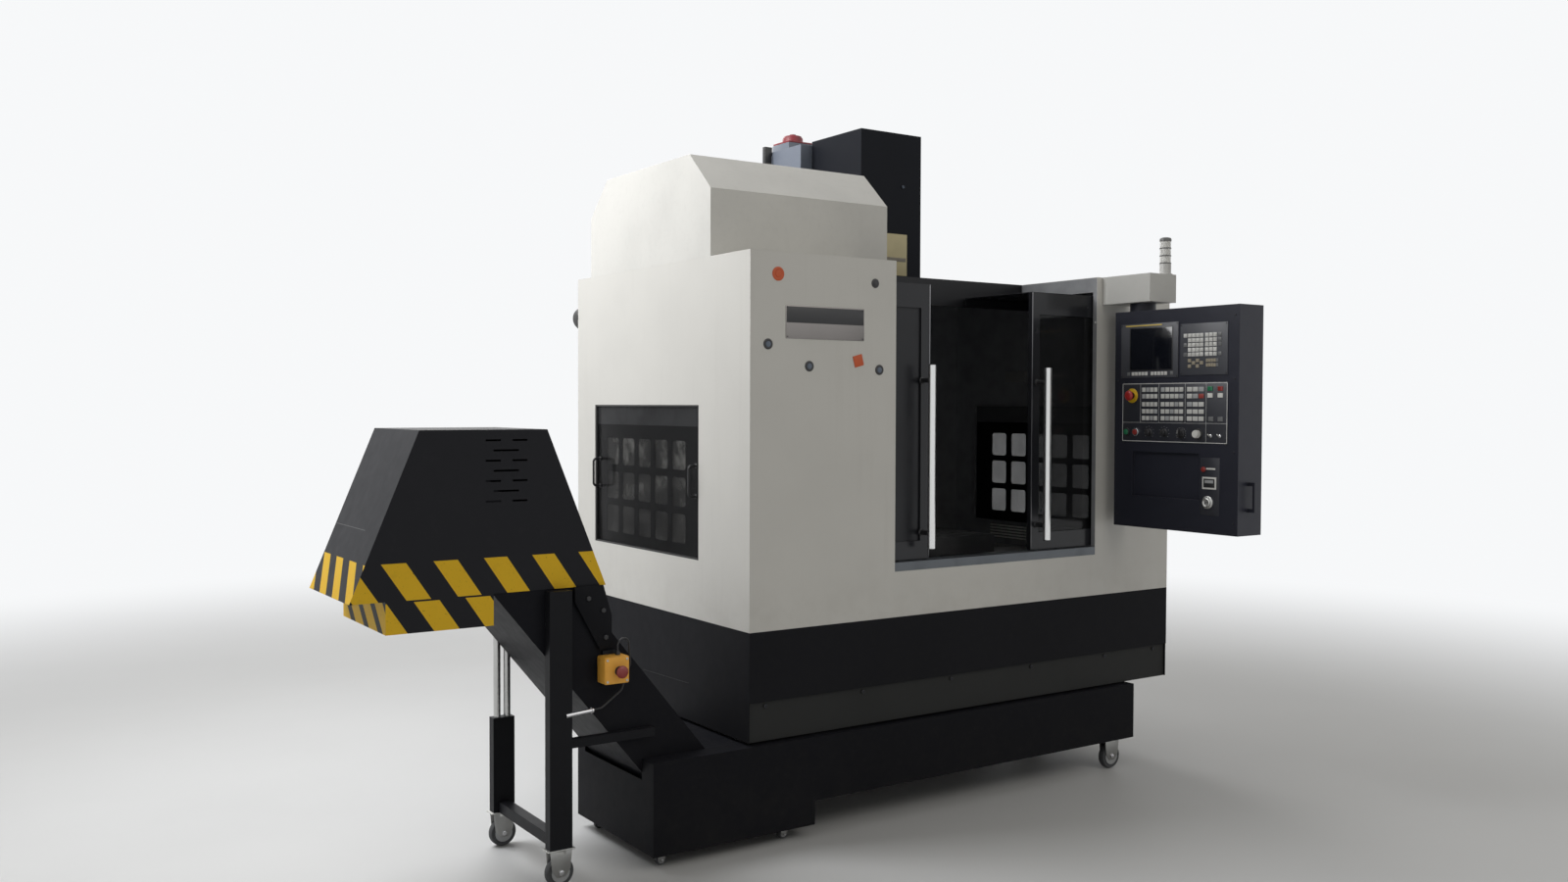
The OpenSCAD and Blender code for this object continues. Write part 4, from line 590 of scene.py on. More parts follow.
class Build:
    """A mesh piece put together from rounded parts, in millimetres of the drawing."""

    def __init__(self, name):
        self.name = name
        self.verts, self.faces, self.slots, self.finishes = [], [], [], []

    def take(self, bm, key):
        """Adds a mesh in one finish, and frees it."""
        if key not in self.finishes:
            self.finishes.append(key)
        slot = self.finishes.index(key)
        base = len(self.verts)
        bm.verts.index_update()
        self.verts += [place(*v.co) for v in bm.verts]
        for f in bm.faces:
            self.faces.append([base + v.index for v in f.verts])
            self.slots.append(slot)
        bm.free()

    def grown(self, tree, points, key, axis="z", edges=(), **sizes):
        """Adds what a geometry tree makes of the points."""
        me = TREES[tree].grow(points, edges, axis, FINISHES[key], sizes)
        bm = bmesh.new()
        bm.from_mesh(me)
        bpy.data.meshes.remove(me)
        self.take(bm, key)

    def screws(self, points, axis, r, key="screw"):
        self.grown("screws", points, key, axis, Radius=r)

    def tube(self, points, r, key, n=12, bend=1.0):
        """A bar along points, its corners rounded by the given radius."""
        edges = [(i, i + 1) for i in range(len(points) - 1)]
        self.grown("pipe", points, key, "z", edges, Radius=r, Bend=bend, Sides=n)

    def box(self, x, y, z, key, r=0.8):
        """A block between two X, two Y and two Z, its edges rounded by r."""
        bm = bmesh.new()
        bmesh.ops.create_cube(bm, size=1)
        for v in bm.verts:
            v.co = Vector([lo + (c + 0.5) * (hi - lo) for c, (lo, hi) in zip(v.co, (x, y, z))])
        self.eased(bm, r)
        self.take(bm, key)

    def prism(self, axis, points, a, b, key, r=0.8):
        """A profile along an axis: points are (Y, Z) for x and (X, Z) for y."""
        bm = bmesh.new()

        def at(p, d):
            return (d, *p) if axis == "x" else (p[0], d, p[1])

        low = [bm.verts.new(at(p, a)) for p in points]
        top = [bm.verts.new(at(p, b)) for p in points]
        bm.faces.new(low)
        bm.faces.new(top)
        for i in range(len(points)):
            j = (i + 1) % len(points)
            bm.faces.new((low[i], low[j], top[j], top[i]))
        bmesh.ops.recalc_face_normals(bm, faces=bm.faces[:])
        self.eased(bm, r)
        self.take(bm, key)

    @staticmethod
    def eased(bm, r):
        if r:
            bmesh.ops.bevel(bm, geom=bm.edges[:], offset=r, segments=2, profile=0.5, affect="EDGES")

    def lathe(self, at, axis, profile, key, n=40):
        """Points (radius, distance along the axis) turned about the axis through a point.

        Both ends are led straight in to the axis, unless the points come back to their start.
        """
        if profile[0] != profile[-1]:
            first, last = ([(0, h)] if r > 0 else [] for r, h in (profile[0], profile[-1]))
            profile = first + profile + last
        bm = bmesh.new()
        d = Vector({"x": (1, 0, 0), "y": (0, 1, 0), "z": (0, 0, 1)}[axis[-1]]) * (-1 if axis[0] == "-" else 1)
        u = Vector((0, 0, 1)) if axis[-1] != "z" else Vector((1, 0, 0))
        v = d.cross(u)
        at = Vector(at)
        rings = []
        for r, h in profile:
            turns = [2 * math.pi * i / n for i in range(n)] if r > 0 else [0]
            rings.append([bm.verts.new(at + d * h + (u * math.cos(a) + v * math.sin(a)) * r) for a in turns])
        for a, b in zip(rings, rings[1:]):
            for i in range(n):
                j = (i + 1) % n
                # A ring on the axis is one point, and its quads are triangles
                corners = [ring[k % len(ring)] for ring, k in ((a, i), (a, j), (b, j), (b, i))]
                bm.faces.new(list(dict.fromkeys(corners)))
        bmesh.ops.recalc_face_normals(bm, faces=bm.faces[:])
        self.take(bm, key)

    def done(self, body, replaces=(), slot=None, sharp=38):
        me = bpy.data.meshes.new(self.name)
        me.from_pydata([tuple(v) for v in self.verts], [], self.faces)
        for key in self.finishes:
            me.materials.append(FINISHES[key])
        me.polygons.foreach_set("material_index", self.slots)
        me.polygons.foreach_set("use_smooth", [True] * len(self.faces))
        me.set_sharp_from_angle(angle=math.radians(sharp))
        ob = new_object(self.name, me)
        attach(ob, body)
        if replaces:
            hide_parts(*replaces)


# Front of the pendant: its plane in X, and its left edge in Y
FACE = 1856.0
LEFT_EDGE = -60.0


def along(u):
    """The drawing's Y of a place u to the right of the pendant's left edge."""
    return LEFT_EDGE - u


class Panel(Build):
    """A piece on the pendant's front, drawn as it is seen: u to the right, z up."""

    def slab(self, u, z, lift, sunk, key, r=0.8):
        u0, u1 = along(u[1]), along(u[0])
        self.prism("x", [(u0, z[0]), (u1, z[0]), (u1, z[1]), (u0, z[1])], FACE - lift, FACE - sunk, key, r)

    def keys(self, spots, w, h, rise, key, sunk=2.0):
        """Keys centred on (u, z) that stand up by a rise."""
        points = [(FACE - sunk, along(u), z) for u, z in spots]
        self.grown("keys", points, key, "-x", Width=w, Height=h, Rise=rise)

    def bolts(self, us, zs, r, lift=0.0):
        self.screws([(FACE - lift, along(u), z) for u in us for z in zs], "-x", r)

    def turned(self, u, z, lift, profile, key, n=40):
        self.lathe((FACE - lift, along(u), z), "-x", profile, key, n)


# Display with its bezel, screen, strip and soft keys
display = Panel("display_panel")
display.slab((36, 344), (1756, 1987), 4, 0, "bezel", 1.5)
display.slab((84, 318), (1786, 1972), 5.2, 3, "black", 1)
display.slab((90, 313), (1791, 1967), 5.6, 4, "screen", 0.4)
display.slab((62, 258), (1976.5, 1981.5), 4.8, 3, "amber", 0.4)
SOFT_KEY_Z = 1773.5
display.keys([(80, SOFT_KEY_Z), (312, SOFT_KEY_Z)], 14, 15, 2.6, "key_dim", 3)
display.keys([(105 + 18 * i + (14 if i > 4 else 0), SOFT_KEY_Z) for i in range(10)], 14, 15, 2.6, "key_pale", 3)
display.bolts((42, 338), (1762, 1981), 2.4, 4)
display.done("pendant", ["display_unit"], "display")

# Keyboard: letter block, number block, function column and cursor keys
COLUMNS = [381, 403, 423, 443, 463, 489, 509, 529, 553]
ROWS = [1926, 1906, 1887, 1867, 1848]
letters = [(u, z) for z in ROWS for u in COLUMNS[1:8]] + [(COLUMNS[0], ROWS[0])]
edge_keys = [(COLUMNS[0], ROWS[2]), (COLUMNS[0], ROWS[4])] + [(COLUMNS[8], ROWS[j]) for j in (0, 1, 2, 4)]
cursor_keys = [(403, 1823), (443, 1823), (423, 1813), (463, 1813), (403, 1800), (443, 1800)]
keyboard = Panel("keyboard_panel")
keyboard.slab((354, 590), (1763, 1975), 3, 0, "bezel", 1.2)
keyboard.keys(letters, 17, 16, 3, "key_pale")
keyboard.keys(edge_keys, 17, 16, 3, "key_dim")
keyboard.keys(cursor_keys, 16, 14, 3, "key_tan")
keyboard.keys([(491.5 + i * 12.5, z) for i in range(4) for z in (1822, 1803)], 11, 14, 3, "key_tan")
keyboard.keys([(541.5, z) for z in (1822, 1803)], 11, 14, 3, "key_dim")
keyboard.bolts((360, 584), (1769, 1969), 2.4, 3)
keyboard.done("pendant", ["keyboard_unit"], "keyboard")

# Operator panel: printed frame as (left, right, low, high, half width), membrane keys, lamps and small knobs
PRINT = ([(48, 590, z, z, 1.3) for z in (1485.5, 1730.5)] + [(u, u, 1485.5, 1730.5, 1.3) for u in (48, 590)]
         + [(50, 588, 1565, 1565, 0.5)]
         + [(u, u, z, 1730, 0.5) for u, z in ((146, 1565), (245, 1565), (382, 1565), (488, 1487))])
KEY_ROWS = (1705, 1677, 1643, 1613, 1584)
KEY_BLOCKS = [(154, 4, 21.5), (255, 5, 24), (391, 3, 29.5)]
RED_KEY = (391, 2, 1)
LAMPS_AND_KEYS = {"green": [(508, 1707)], "red_dim": [(558, 1707)], "pale": [(508, 1679), (558, 1679)],
                  "key_dim": [(513, 1583), (559, 1583)]}
operator = Panel("operator_face")
operator.slab((46, 592), (1483, 1733), 2.6, 0, "panel_face")
for u0, u1, z0, z1, w in PRINT:
    up, flat = (w, 0) if u0 == u1 else (0, w)
    operator.slab((u0 - up, u1 + up), (z0 - flat, z1 + flat), 3, 2, "white_line", 0)
for first, count, pitch in KEY_BLOCKS:
    looks = {"key_red": [], "key_pale": [], "keys": []}
    for j, z in enumerate(KEY_ROWS):
        for i in range(count):
            look = "key_red" if (first, i, j) == RED_KEY else "key_pale" if (i + j + count) % 5 else "keys"
            looks[look].append((first + (i + 0.5) * pitch - 0.8, z))
    for key, spots in looks.items():
        if spots:
            operator.keys(spots, pitch - 4.5, 18.5, 2.2, key)
for key, spots in LAMPS_AND_KEYS.items():
    operator.keys(spots, 24, 18, 3.6, key)
for u in (194, 275):
    operator.turned(u, 1524, 2.6, [(17, 0), (17, 3), (13, 4.5), (12, 16), (10, 18)], "black", 28)
    operator.box((FACE - 27, FACE - 14), (along(u) - 3, along(u) + 3), (1512, 1536), "black", 1.5)
for u in (511, 556):
    operator.turned(u, 1514, 2.6, [(8, 0), (8, 3), (5, 4), (5, 8)], "ground", 20)
    operator.tube([(FACE - 8, along(u), 1514), (FACE - 20, along(u), 1521)], 2.6, "pale", 10)
for u, z, n in ((194, 1524, 9), (275, 1524, 9), (362, 1521, 13)):
    dial = [math.radians(-130 + 260 * i / (n - 1)) for i in range(n)]
    marks = [(FACE - 2.4, along(u + 25 * math.sin(a)), z + 25 * math.cos(a)) for a in dial]
    operator.grown("pins", marks, "white_line", "-x", Radius=1.1, Rise=0.7)
operator.bolts((54, 210, 430, 584), (1478, 1738), 2.6)
operator.done("pendant", ["operator_panel"], "panel")

# Emergency stop on its yellow ring, lit push buttons and knobs
MUSHROOM = [(0, -1.5), (10, -1.2), (18, 0.6), (21.5, 4), (22, 8), (19, 12), (11, 16), (10, 22.5)]
BUTTON = [(0, 0), (9, 0.2), (11, 1), (12, 3), (12, 5.7), (8, 5.7), (8, 6.5)]
STOP_U, STOP_Z = 100, 1680
START_U, HALT_U, BUTTON_Z = 71, 121, 1524
MODE_U, OVERRIDE_U, KNOB_Z = 362, 450, 1521
cap = Build("pendant_estop_cap")
cap.lathe((FACE - 31, along(STOP_U), STOP_Z), "x", MUSHROOM, "red", 48)
cap.done("pendant_estop", ["pendant_estop"], "red_button")
rings = Panel("pendant_estop_ring")
rings.turned(STOP_U, STOP_Z, 2.7, [(10.5, 0), (31, 0), (31, 1.6), (29.5, 2.4), (10.5, 2.4), (10.5, 0)], "yellow", 48)
rings.turned(STOP_U, STOP_Z, 2.7, [(10.6, 0), (15, 0), (15, 3), (10.6, 3), (10.6, 0)], "black")
for u, key in ((START_U, "black"), (HALT_U, "ground")):
    rings.turned(u, BUTTON_Z, 2.7, [(13, 0), (17.5, 0), (17.5, 5), (16, 6.5), (13, 6.5), (13, 0)], key, 36)
rings.done("pendant", slot="panel")
for name, u, key, body, slot in (("start_cap", START_U, "green", "start_button", "green_button"),
                                 ("stop_cap", HALT_U, "red_dim", "stop_button", "red_button")):
    cap = Build(name)
    cap.lathe((FACE - 13, along(u), BUTTON_Z), "x", BUTTON, key, 36)
    cap.done(body, [body], slot)
mode = Panel("mode_knob_cap")
mode_y = along(MODE_U)
mode.turned(MODE_U, KNOB_Z, 3.3, [(20, 0), (20, 3), (18, 5.5), (14.6, 6), (13.8, 12)], "black")
mode.box((FACE - 27, FACE - 10), (mode_y - 4.5, mode_y + 4.5), (1506.5, 1535.5), "black", 2)
mode.box((FACE - 27.4, FACE - 25), (mode_y - 0.8, mode_y + 0.8), (KNOB_Z, 1535), "white_line", 0.2)
mode.done("mode_knob", ["mode_knob"], "black_knob")
override = Panel("override_knob_cap")
override.turned(OVERRIDE_U, KNOB_Z, 3.3, [(23, 0), (23, 3), (21, 5.5)], "black", 48)
override.turned(OVERRIDE_U, KNOB_Z, 8.6, [(16.2, 0), (15.6, 14.6), (13.8, 17.6), (0, 18.2)], "pale", 48)
turns = [2 * math.pi * i / 18 for i in range(18)]
flutes = [(FACE - 9, along(OVERRIDE_U) + 15.9 * math.cos(a), KNOB_Z + 15.9 * math.sin(a)) for a in turns]
override.grown("pins", flutes, "pale", "-x", Radius=0.9, Rise=13.0)
override.done("override_knob", ["override_knob"], "white_knob")

# Socket, lamp and key lock under the recess, corner screws of the pendant
fittings = Panel("pendant_fittings")
fittings.slab((460, 556), (1190, 1425), 1.2, 0, "panel_face", 0.6)
fittings.slab((473, 542), (1297, 1347), 4, 1, "pale", 1.2)
fittings.slab((480, 535), (1304, 1340), 4.6, 3, "black", 0.6)
fittings.slab((487, 528), (1322, 1334), 5.4, 4, "keys", 0.4)
fittings.slab((492, 536), (1377, 1384), 3, 1, "pale", 0.5)
fittings.turned(478, 1377, 1.2, [(11, 0), (11, 3), (8, 7), (0, 8)], "red_dim", 28)
fittings.turned(500, 1243, 1.2, [(26, 0), (26, 4), (23, 6), (19, 6), (18, 12), (15, 14), (12, 12.5), (0, 12)], "zinc")
fittings.box((FACE - 18, FACE - 12), (along(500) - 1.5, along(500) + 1.5), (1236, 1250), "screw", 0.4)
fittings.bolts((20, 624), (1165, 1450, 1745, 2000), 3.2)
fittings.done("pendant", slot="panel")

# Casters: plate, swivel, fork, tyre and hub for each wheel
casters = Build("caster_set")


def caster(x, y, d, top):
    """A wheel of diameter d at a place of the floor, under a plate at a height."""
    w = 32 if d > 60 else 20
    r = d / 2
    swivel = [(d * 0.26, 0), (d * 0.26, d * 0.1), (d * 0.2, d * 0.12)]
    cheek = [(x - d * 0.4, top - 4), (x - d * 0.34, d * 0.62), (x - d * 0.15, d * 0.36), (x + d * 0.15, d * 0.36),
             (x + d * 0.34, d * 0.62), (x + d * 0.4, top - 4)]
    nut = [(d * 0.1, 0), (d * 0.1, 4), (d * 0.07, 5)]
    hub = [(r * 0.68, -3), (r * 0.66, 0.8), (r * 0.3, 0.8), (r * 0.2, -1)]
    tyre = [(r * 0.2, 0), (r * 0.72, 0), (r * 0.74, 2), (r * 0.93, 1.5), (r, w * 0.25), (r, w * 0.75),
            (r * 0.93, w - 1.5), (r * 0.74, w - 2), (r * 0.72, w), (r * 0.2, w), (r * 0.2, 0)]
    casters.box((x - r, x + r), (y - w / 2 - 10, y + w / 2 + 10), (top - 4, top), "zinc", 0.8)
    casters.lathe((x, y, top - 4 - d * 0.12), "z", swivel, "zinc", 28)
    for s, side in ((-1, "-y"), (1, "y")):
        a = y + s * (w / 2 + 1)
        casters.prism("y", cheek, min(a, a + s * 3), max(a, a + s * 3), "fork", 0.6)
        casters.lathe((x, a + s * 3, r), side, nut, "ground", 6)
        casters.lathe((x, y + s * w / 2, r), side, hub, "wheel")
    casters.lathe((x, y - w / 2, r), "y", tyre, "tyre", 48)


for x in (-343, 180):
    for y in (50, 540):
        caster(x, y, 40, 50)
for y in (50, 540):
    caster(1960, y, 110, 140)
for y in (53, 557):
    caster(-730, y, 100, 130)
casters.done("frame", ["casters"], "caster_mix")

# Tower light: ribbed lenses between dark rings on a grey foot
LAMP = (1968, -235)
LENSES = (2248, 2280, 2312)
light = Build("tower_light_stack")
light.lathe((*LAMP, 2200), "z", [(31, 0), (31, 3), (26, 6), (24.5, 8), (24.5, 46), (23.5, 48)], "lamp_foot", 48)
for z in LENSES:
    light.lathe((*LAMP, z), "z", [(25, 0), (25, 3.5), (23.6, 4)], "ring_dark", 48)
    light.lathe((*LAMP, z), "z", [(22.6, 4), (22.6, 32)], "lens", 48)
light.grown("ribs", [(*LAMP, z + 5.4) for z in LENSES], "lens", "z", Radius=22.6, Thick=0.7, Pitch=2.2, Count=12)
light.lathe((*LAMP, 2344), "z", [(25, 0), (25, 9), (22, 14), (12, 17), (0, 17.5)], "ring_dark", 48)
light.done("frame", ["tower_light"], "lamp_plastic")

# Side windows: panes in a rubber bead with bent pulls, pierced guards, dirty cells behind their openings, those of
# the far wall painted lighter as painted backlight.
# The housing's opening runs from 371 to 1280 and from 1030 to 1633; the bead bites 0.2 into its edges.
MIDDLE_Y, MIDDLE_Z = 825.5, 1331.5
CELL_SHIFT = -10.0
windows = Build("side_windows")
guards = Build("side_window_guards")
for wall, out in ((0, "-x"), (2280, "x")):
    k = -1 if wall == 0 else 1

    def deep(a, b):
        """The range in X between two depths from the outside of this wall."""
        return tuple(sorted((wall - k * a, wall - k * b)))

    windows.box(deep(6, 10), (372, 1279), (1031, 1632), "pane", 0.5)
    for y, z in [((370.8, 379), (1029.8, 1633.2)), ((1272, 1280.2), (1029.8, 1633.2)),
                 ((379, 1272), (1029.8, 1037)), ((379, 1272), (1626, 1633.2))]:
        windows.box(deep(2.5, 11), y, z, "bead", 1)
    base, tip = wall - k * 6, wall + k * 27
    for y in (400, 1241):
        windows.tube([(base, y, 1277), (tip, y, 1277), (tip, y, 1397), (base, y, 1397)], 5, "black", 14, 14)
        for z in (1277, 1397):
            windows.lathe((base, y, z), out, [(9, 0), (9, 2), (6, 4)], "black", 24)
    cells = [(wall - k * 13.3, MIDDLE_Y + k * CELL_SHIFT + 145 * i, 1287 + 146 * j)
             for i in range(-2, 3) for j in (-1, 0, 1)]
    # The far wall's cells take the lighter copy of the film: painted backlight
    windows.grown("keys", cells, "film" if wall == 0 else "film_far", out, Width=109.4, Height=115.4, Rise=0.8)
    guards.grown("plate", [(wall - k * 16.3, MIDDLE_Y, MIDDLE_Z)], "guard", out, Width=908, Height=602, Thick=6,
                 ShiftX=CELL_SHIFT, ShiftY=-44.5)
windows.done("frame", ["window_panes"], "tinted_glass")
guards.done("frame", ["window_guards"], "guard_paint", 60)

# Plugs and grommets of the left housing as (X, Z, radius, button, rim), square plug and bare plate,
# knob behind its rear edge, slats and block on the right wall
HOLES = [(121, 2117, 26, "plug_orange", "plug_orange"), (572, 2106, 18, "black", "black"),
         (77, 1858, 20, "plug_blue", "black"), (262, 1780, 20, "plug_blue", "black"),
         (594, 1772, 20, "plug_blue", "black")]
housing = Build("housing_fittings")
for x, z, r, key, rim in HOLES:
    grommet = [(r, 0), (r, 1.6), (r * 0.88, 3), (r * 0.62, 3.2), (r * 0.55, 2.2)]
    housing.lathe((x, 0, z), "-y", grommet, rim, 32)
    housing.lathe((x, -2, z), "-y", [(r * 0.56, 0), (r * 0.5, 2.2), (r * 0.2, 3)], key, 24)
tilt = [math.radians(a) for a in (60, 150, 240, 330)]
housing.prism("y", [(491 + 31 * math.cos(a), 1805 + 31 * math.sin(a)) for a in tilt], -3, 0, "plug_orange")
x0, x1, z0, z1 = 155, 518, 1881, 2004
housing.prism("y", [(x0, z0), (x1, z0), (x1, z1), (x0, z1)], -2.2, 0, "plate_bare", 0.6)
mid = (z0 + z1) / 2 - 2
housing.prism("y", [(x0 + 3, mid), (x1 - 3, mid), (x1 - 3, z1 - 4), (x0 + 3, z1 - 4)], -2.9, -1, "black", 0.4)
housing.screws([(x, -2.6, z) for x in (x0 + 7, x1 - 7) for z in (z0 + 7, z1 - 7)], "-y", 2.2)
housing.lathe((50, 1456, 2028), "y", [(52, 0), (52, 52), (48, 58), (30, 60)], "bead")
housing.lathe((1804, 12, 2002), "-x", [(6, 0), (6, 1.4), (4.6, 2.4)], "zinc", 20)
housing.box((2274, 2277), (905, 1180), (936, 1012), "edge_dark", 0.6)
slats = [(2274, 1042.5, 944 + 15 * i) for i in range(5)]
housing.grown("keys", slats, "pale", "-x", Width=270, Height=9, Rise=1.2)
housing.box((2272, 2277.5), (913, 1072), (1759, 1814), "wall_block", 1.5)
housing.done("frame", slot="housing_paint")

# Bolts of the cover plate; seam of the left skirt, drawn as a thin bar in the lighter plate paint for a painted
# highlight along its edge
base = Build("base_fittings")
base.screws([(x, 11, 522) for x in (75, 528, 980, 1430, 1880, 2200)], "-y", 7.5)
# Painted highlight: the seam's bright edge line given as a thin bar lighter than the skirt
base.tube([(-0.2, 825, 530), (-0.2, 443, 539)], 1.2, "plate", 8)
base.done("frame", slot="skirt_paint")

# Conveyor: gusset with its bolts, latch rod, slot of the hood
conveyor = Build("conveyor_fittings")
corner_plate = [(-668, 1012), (-560, 1012), (-528, 905), (-528, 795), (-572, 787), (-668, 960)]
conveyor.prism("y", corner_plate, 58, 64, "gusset", 1)
for x, z in ((-617, 969), (-561, 924), (-552, 830)):
    conveyor.lathe((x, 58, z), "-y", [(9, 0), (9, 5), (7.6, 6)], "black", 6)
conveyor.tube([(-712, 34, 581), (-618, 34, 588)], 8, "ground", 18)
conveyor.lathe((-618, 34, 588), "x", [(10, 0), (10, 6), (7, 8)], "ground", 24)
slope, away = Vector((0.382, 0.924)), Vector((-0.924, 0.382))
slot_at = Vector((-1333.4, 1227))
slot = [slot_at + slope * a + away * b for a, b in ((-1.3, -1), (1.3, -1), (1.3, 0.5), (-1.3, 0.5))]
conveyor.prism("y", slot, 200, 530, "black", 0)
conveyor.done("frame", slot="conveyor_paint")

# Stop box of the conveyor: body, lid and bracket, its button, gland and cable
BOX_X, BOX_Z = -535, 722
BUTTON_X, BUTTON_Z = BOX_X + 8, BOX_Z - 3
outline = [(-43, -46.5), (43, -46.5), (46.5, -43), (46.5, 43), (43, 46.5), (-43, 46.5), (-46.5, 43), (-46.5, -43)]
lid = Build("conveyor_stop_lid")
lid.prism("y", [(BOX_X + dx, BOX_Z + dz) for dx, dz in outline], 5, 64, "box_orange", 2)
lid.box((BOX_X - 44, BOX_X + 44), (3.6, 6), (BOX_Z - 44, BOX_Z + 44), "box_orange", 1.1)
lid.screws([(BOX_X + dx, 3.8, BOX_Z + dz) for dx in (-37, 37) for dz in (-37, 37)], "-y", 4, "zinc")
lid.box((BOX_X - 25, BOX_X + 25), (64, 72.6), (BOX_Z - 60, BOX_Z + 60), "leg")
collar = [(10.6, 0), (17, 0), (17, 1.6), (16, 2.4), (10.6, 2.4), (10.6, 0)]
lid.lathe((BUTTON_X, 4, BUTTON_Z), "-y", collar, "black")
lid.done("frame", ["conveyor_estop_box"], "yellow_box")
cap = Build("conveyor_stop_cap")
cap.lathe((BUTTON_X, -26, BUTTON_Z), "y", MUSHROOM[:-1] + [(10, 24)], "red_dim", 48)
cap.done("conveyor_estop_knob", ["conveyor_estop_knob"], "red_button")
lead = Build("conveyor_stop_cable")
lead.lathe((BOX_X + 20, 40, BOX_Z + 46), "z", [(9, 0), (9, 7), (7, 9), (7, 15)], "black", 20)
route = [(20, 40, 55), (20, 40, 110), (66, 46, 95), (74, 50, 10), (40, 50, -80), (-40, 44, -132)]
lead.tube([(BOX_X + dx, y, BOX_Z + dz) for dx, y, dz in route] + [(-618, 36, 589)], 3.4, "black", 10, 26)
lead.done("frame", slot="conveyor_paint")

# Feed motor: flange, body and flat red cap
motor = Build("feed_motor")
motor.box((1130.5, 1350.5), (1435, 1670), (2720, 2740), "cover", 2)
motor.box((1165.5, 1315.5), (1475, 1625), (2740, 2960), "head", 4)
motor.box((1168.5, 1312.5), (1478, 1622), (2960, 2969), "red_dark", 3)
motor.lathe((1240.5, 1550, 2968), "z", [(52, 0), (52, 24), (44, 36), (18, 37), (16, 46)],
            "red_dark", 24)
motor.done("frame", ["z_motor"], "motor_paint")

# Head: a bolt, a block and a bare yellowed plate on the cover
head = Build("head_fittings")
head.screws([(1307, 742, 2646)], "-y", 7, "plug_blue")
head.box((958, 1001), (1376, 1398), (2790, 2896), "black", 2)
head.prism("y", [(1208, 2236), (1333, 2236), (1333, 2427), (1208, 2427)], 740.6, 742, "label_cream", 0.3)
head.prism("y", [(1214, 2300), (1327, 2300), (1327, 2318), (1214, 2318)], 740.2, 741, "label_grey", 0.2)
head.done("head", slot="cover_paint")

# Doors: dark collars on the handle posts, bar ends, edge strip
COLLAR = [(7.05, 0), (14, 0), (14, 4), (9.5, 6), (9.5, 44), (11, 49), (7.05, 49), (7.05, 0)]
for side, x, edge in (("left", 833.5, (871, 875.4)), ("right", 1471.5, (1440.6, 1445))):
    door = Build(side + "_door_fittings")
    for z in (1126, 1735):
        door.lathe((x, 30, z), "-y", COLLAR, "black", 32)
    for z, axis in ((1066, "-z"), (1795, "z")):
        door.lathe((x, -35, z), axis, [(14, 0), (14, 1), (12.5, 2.5)], "black", 32)
    door.box(edge, (28.2, 30.2), (1019, 2119), "edge_dark", 0.6)
    door.done(side + "_door", slot="handle_steel")

# Camera at the photograph's place: 1349 pixels of focal length on a frame 1600 pixels wide
FOCAL, FRAME_WIDE, SENSOR = 1349, 1600, 36
yaw, pitch, roll = (math.radians(a) for a in (33.951, -1.509, 0.183))
fwd = Vector((math.sin(yaw) * math.cos(pitch), math.cos(yaw) * math.cos(pitch), math.sin(pitch)))
level = Vector((math.cos(yaw), -math.sin(yaw), 0))
lift = level.cross(fwd)
across = level * math.cos(roll) + lift * math.sin(roll)
upward = lift * math.cos(roll) - level * math.sin(roll)
cam = bpy.data.cameras.new("camera")
cam.sensor_width = SENSOR
cam.lens = FOCAL / FRAME_WIDE * SENSOR
cam.clip_end = 100
cam_ob = new_object("camera", cam)
view = Matrix((across, upward, -fwd)).transposed().to_4x4()
cam_ob.matrix_world = Matrix.Translation(place(-2583, -4058, 1630)) @ view
bpy.context.scene.camera = cam_ob


def area(name, at, aim, size, power, color):
    lamp = bpy.data.lights.new(name, "AREA")
    lamp.shape = "RECTANGLE"
    lamp.size, lamp.size_y = size
    lamp.energy = power
    lamp.color = color
    ob = new_object(name, lamp)
    ob.location = at
    ob.rotation_euler = (Vector(aim) - Vector(at)).to_track_quat("-Z", "Y").to_euler()


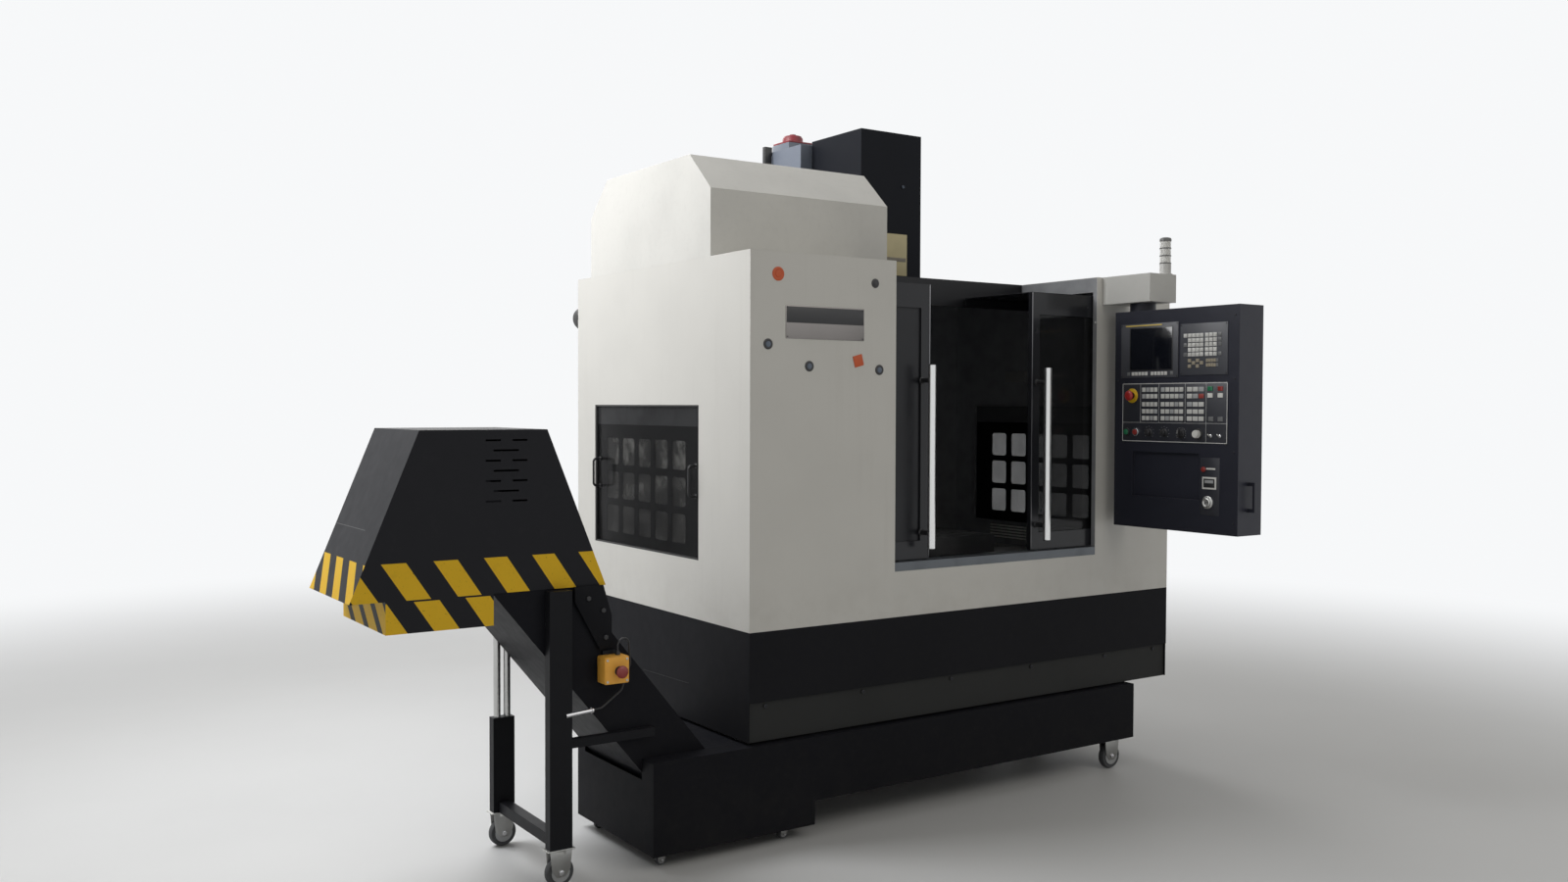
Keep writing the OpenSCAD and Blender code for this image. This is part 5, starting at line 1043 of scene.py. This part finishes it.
area("ceiling_left", (-2.5, 1.0, 4.3), (-0.45, 0.2, 2.3), (2, 3), 150, (1, 1, 1))
area("ceiling_front", (1.5, -6.5, 5.5), (0, 0, 1.0), (6, 3), 72, (1, 0.96, 0.88))
area("ceiling_rear", (1.5, 5.5, 6.5), (0, 0, 1.5), (6, 4), 190, (1, 0.98, 0.95))

HALL_WHITE = (0.93, 0.94, 0.95)
AMBIENT = (1.0, 0.97, 0.91)


def is_seen(tree):
    """1 for rays of the camera, and for what is reflected or seen through glass."""
    seen = add_node(tree, "ShaderNodeLightPath", out="Is Camera Ray")
    return seen.hi(seen.beside("Is Glossy Ray")).hi(seen.beside("Is Transmission Ray"))


world = bpy.data.worlds.new("hall")
bpy.context.scene.world = world
world.use_nodes = True
hall = world.node_tree
hall.nodes.clear()
ambient = add_node(hall, "ShaderNodeBackground", None, {"Color": AMBIENT, "Strength": 0.25})
backdrop = add_node(hall, "ShaderNodeBackground", None, {"Color": HALL_WHITE, "Strength": 1.0})
both = add_node(hall, "ShaderNodeMixShader", None, {0: is_seen(hall), 1: ambient, 2: backdrop})
add_node(hall, "ShaderNodeOutputWorld", None, {0: both})

# Floor: far from the object it turns into the white of the hall, for what is seen and reflected only
HALF = 30
FADE_FROM, FADE_TO = 3.0, 8.5
floor_mesh = bpy.data.meshes.new("floor")
floor_mesh.from_pydata([(-HALF, -HALF, 0), (HALF, -HALF, 0), (HALF, HALF, 0), (-HALF, HALF, 0)], [], [(0, 1, 2, 3)])
floor = new_object("floor", floor_mesh)
ground = Finish("floor_pale")
ground.set(color=ground.mix(ground.noise(1.3, 5), (0.66, 0.67, 0.68), (0.71, 0.72, 0.73)), rough=0.6, spec=0.3)
reach = ((ground.x * ground.x) + (ground.y * ground.y)).math("SQRT")
far = reach.step(FADE_FROM, FADE_TO) * is_seen(ground.tree)
glow = ground.add("ShaderNodeEmission", None, {"Color": HALL_WHITE})
near = Socket(ground.tree, ground.shader.outputs[0])
pale = ground.add("ShaderNodeMixShader", None, {0: far, 1: near, 2: glow})
feed(ground.tree, ground.output.inputs["Surface"], pale)
floor.data.materials.append(ground.material)

bpy.context.scene.view_settings.view_transform = "Standard"
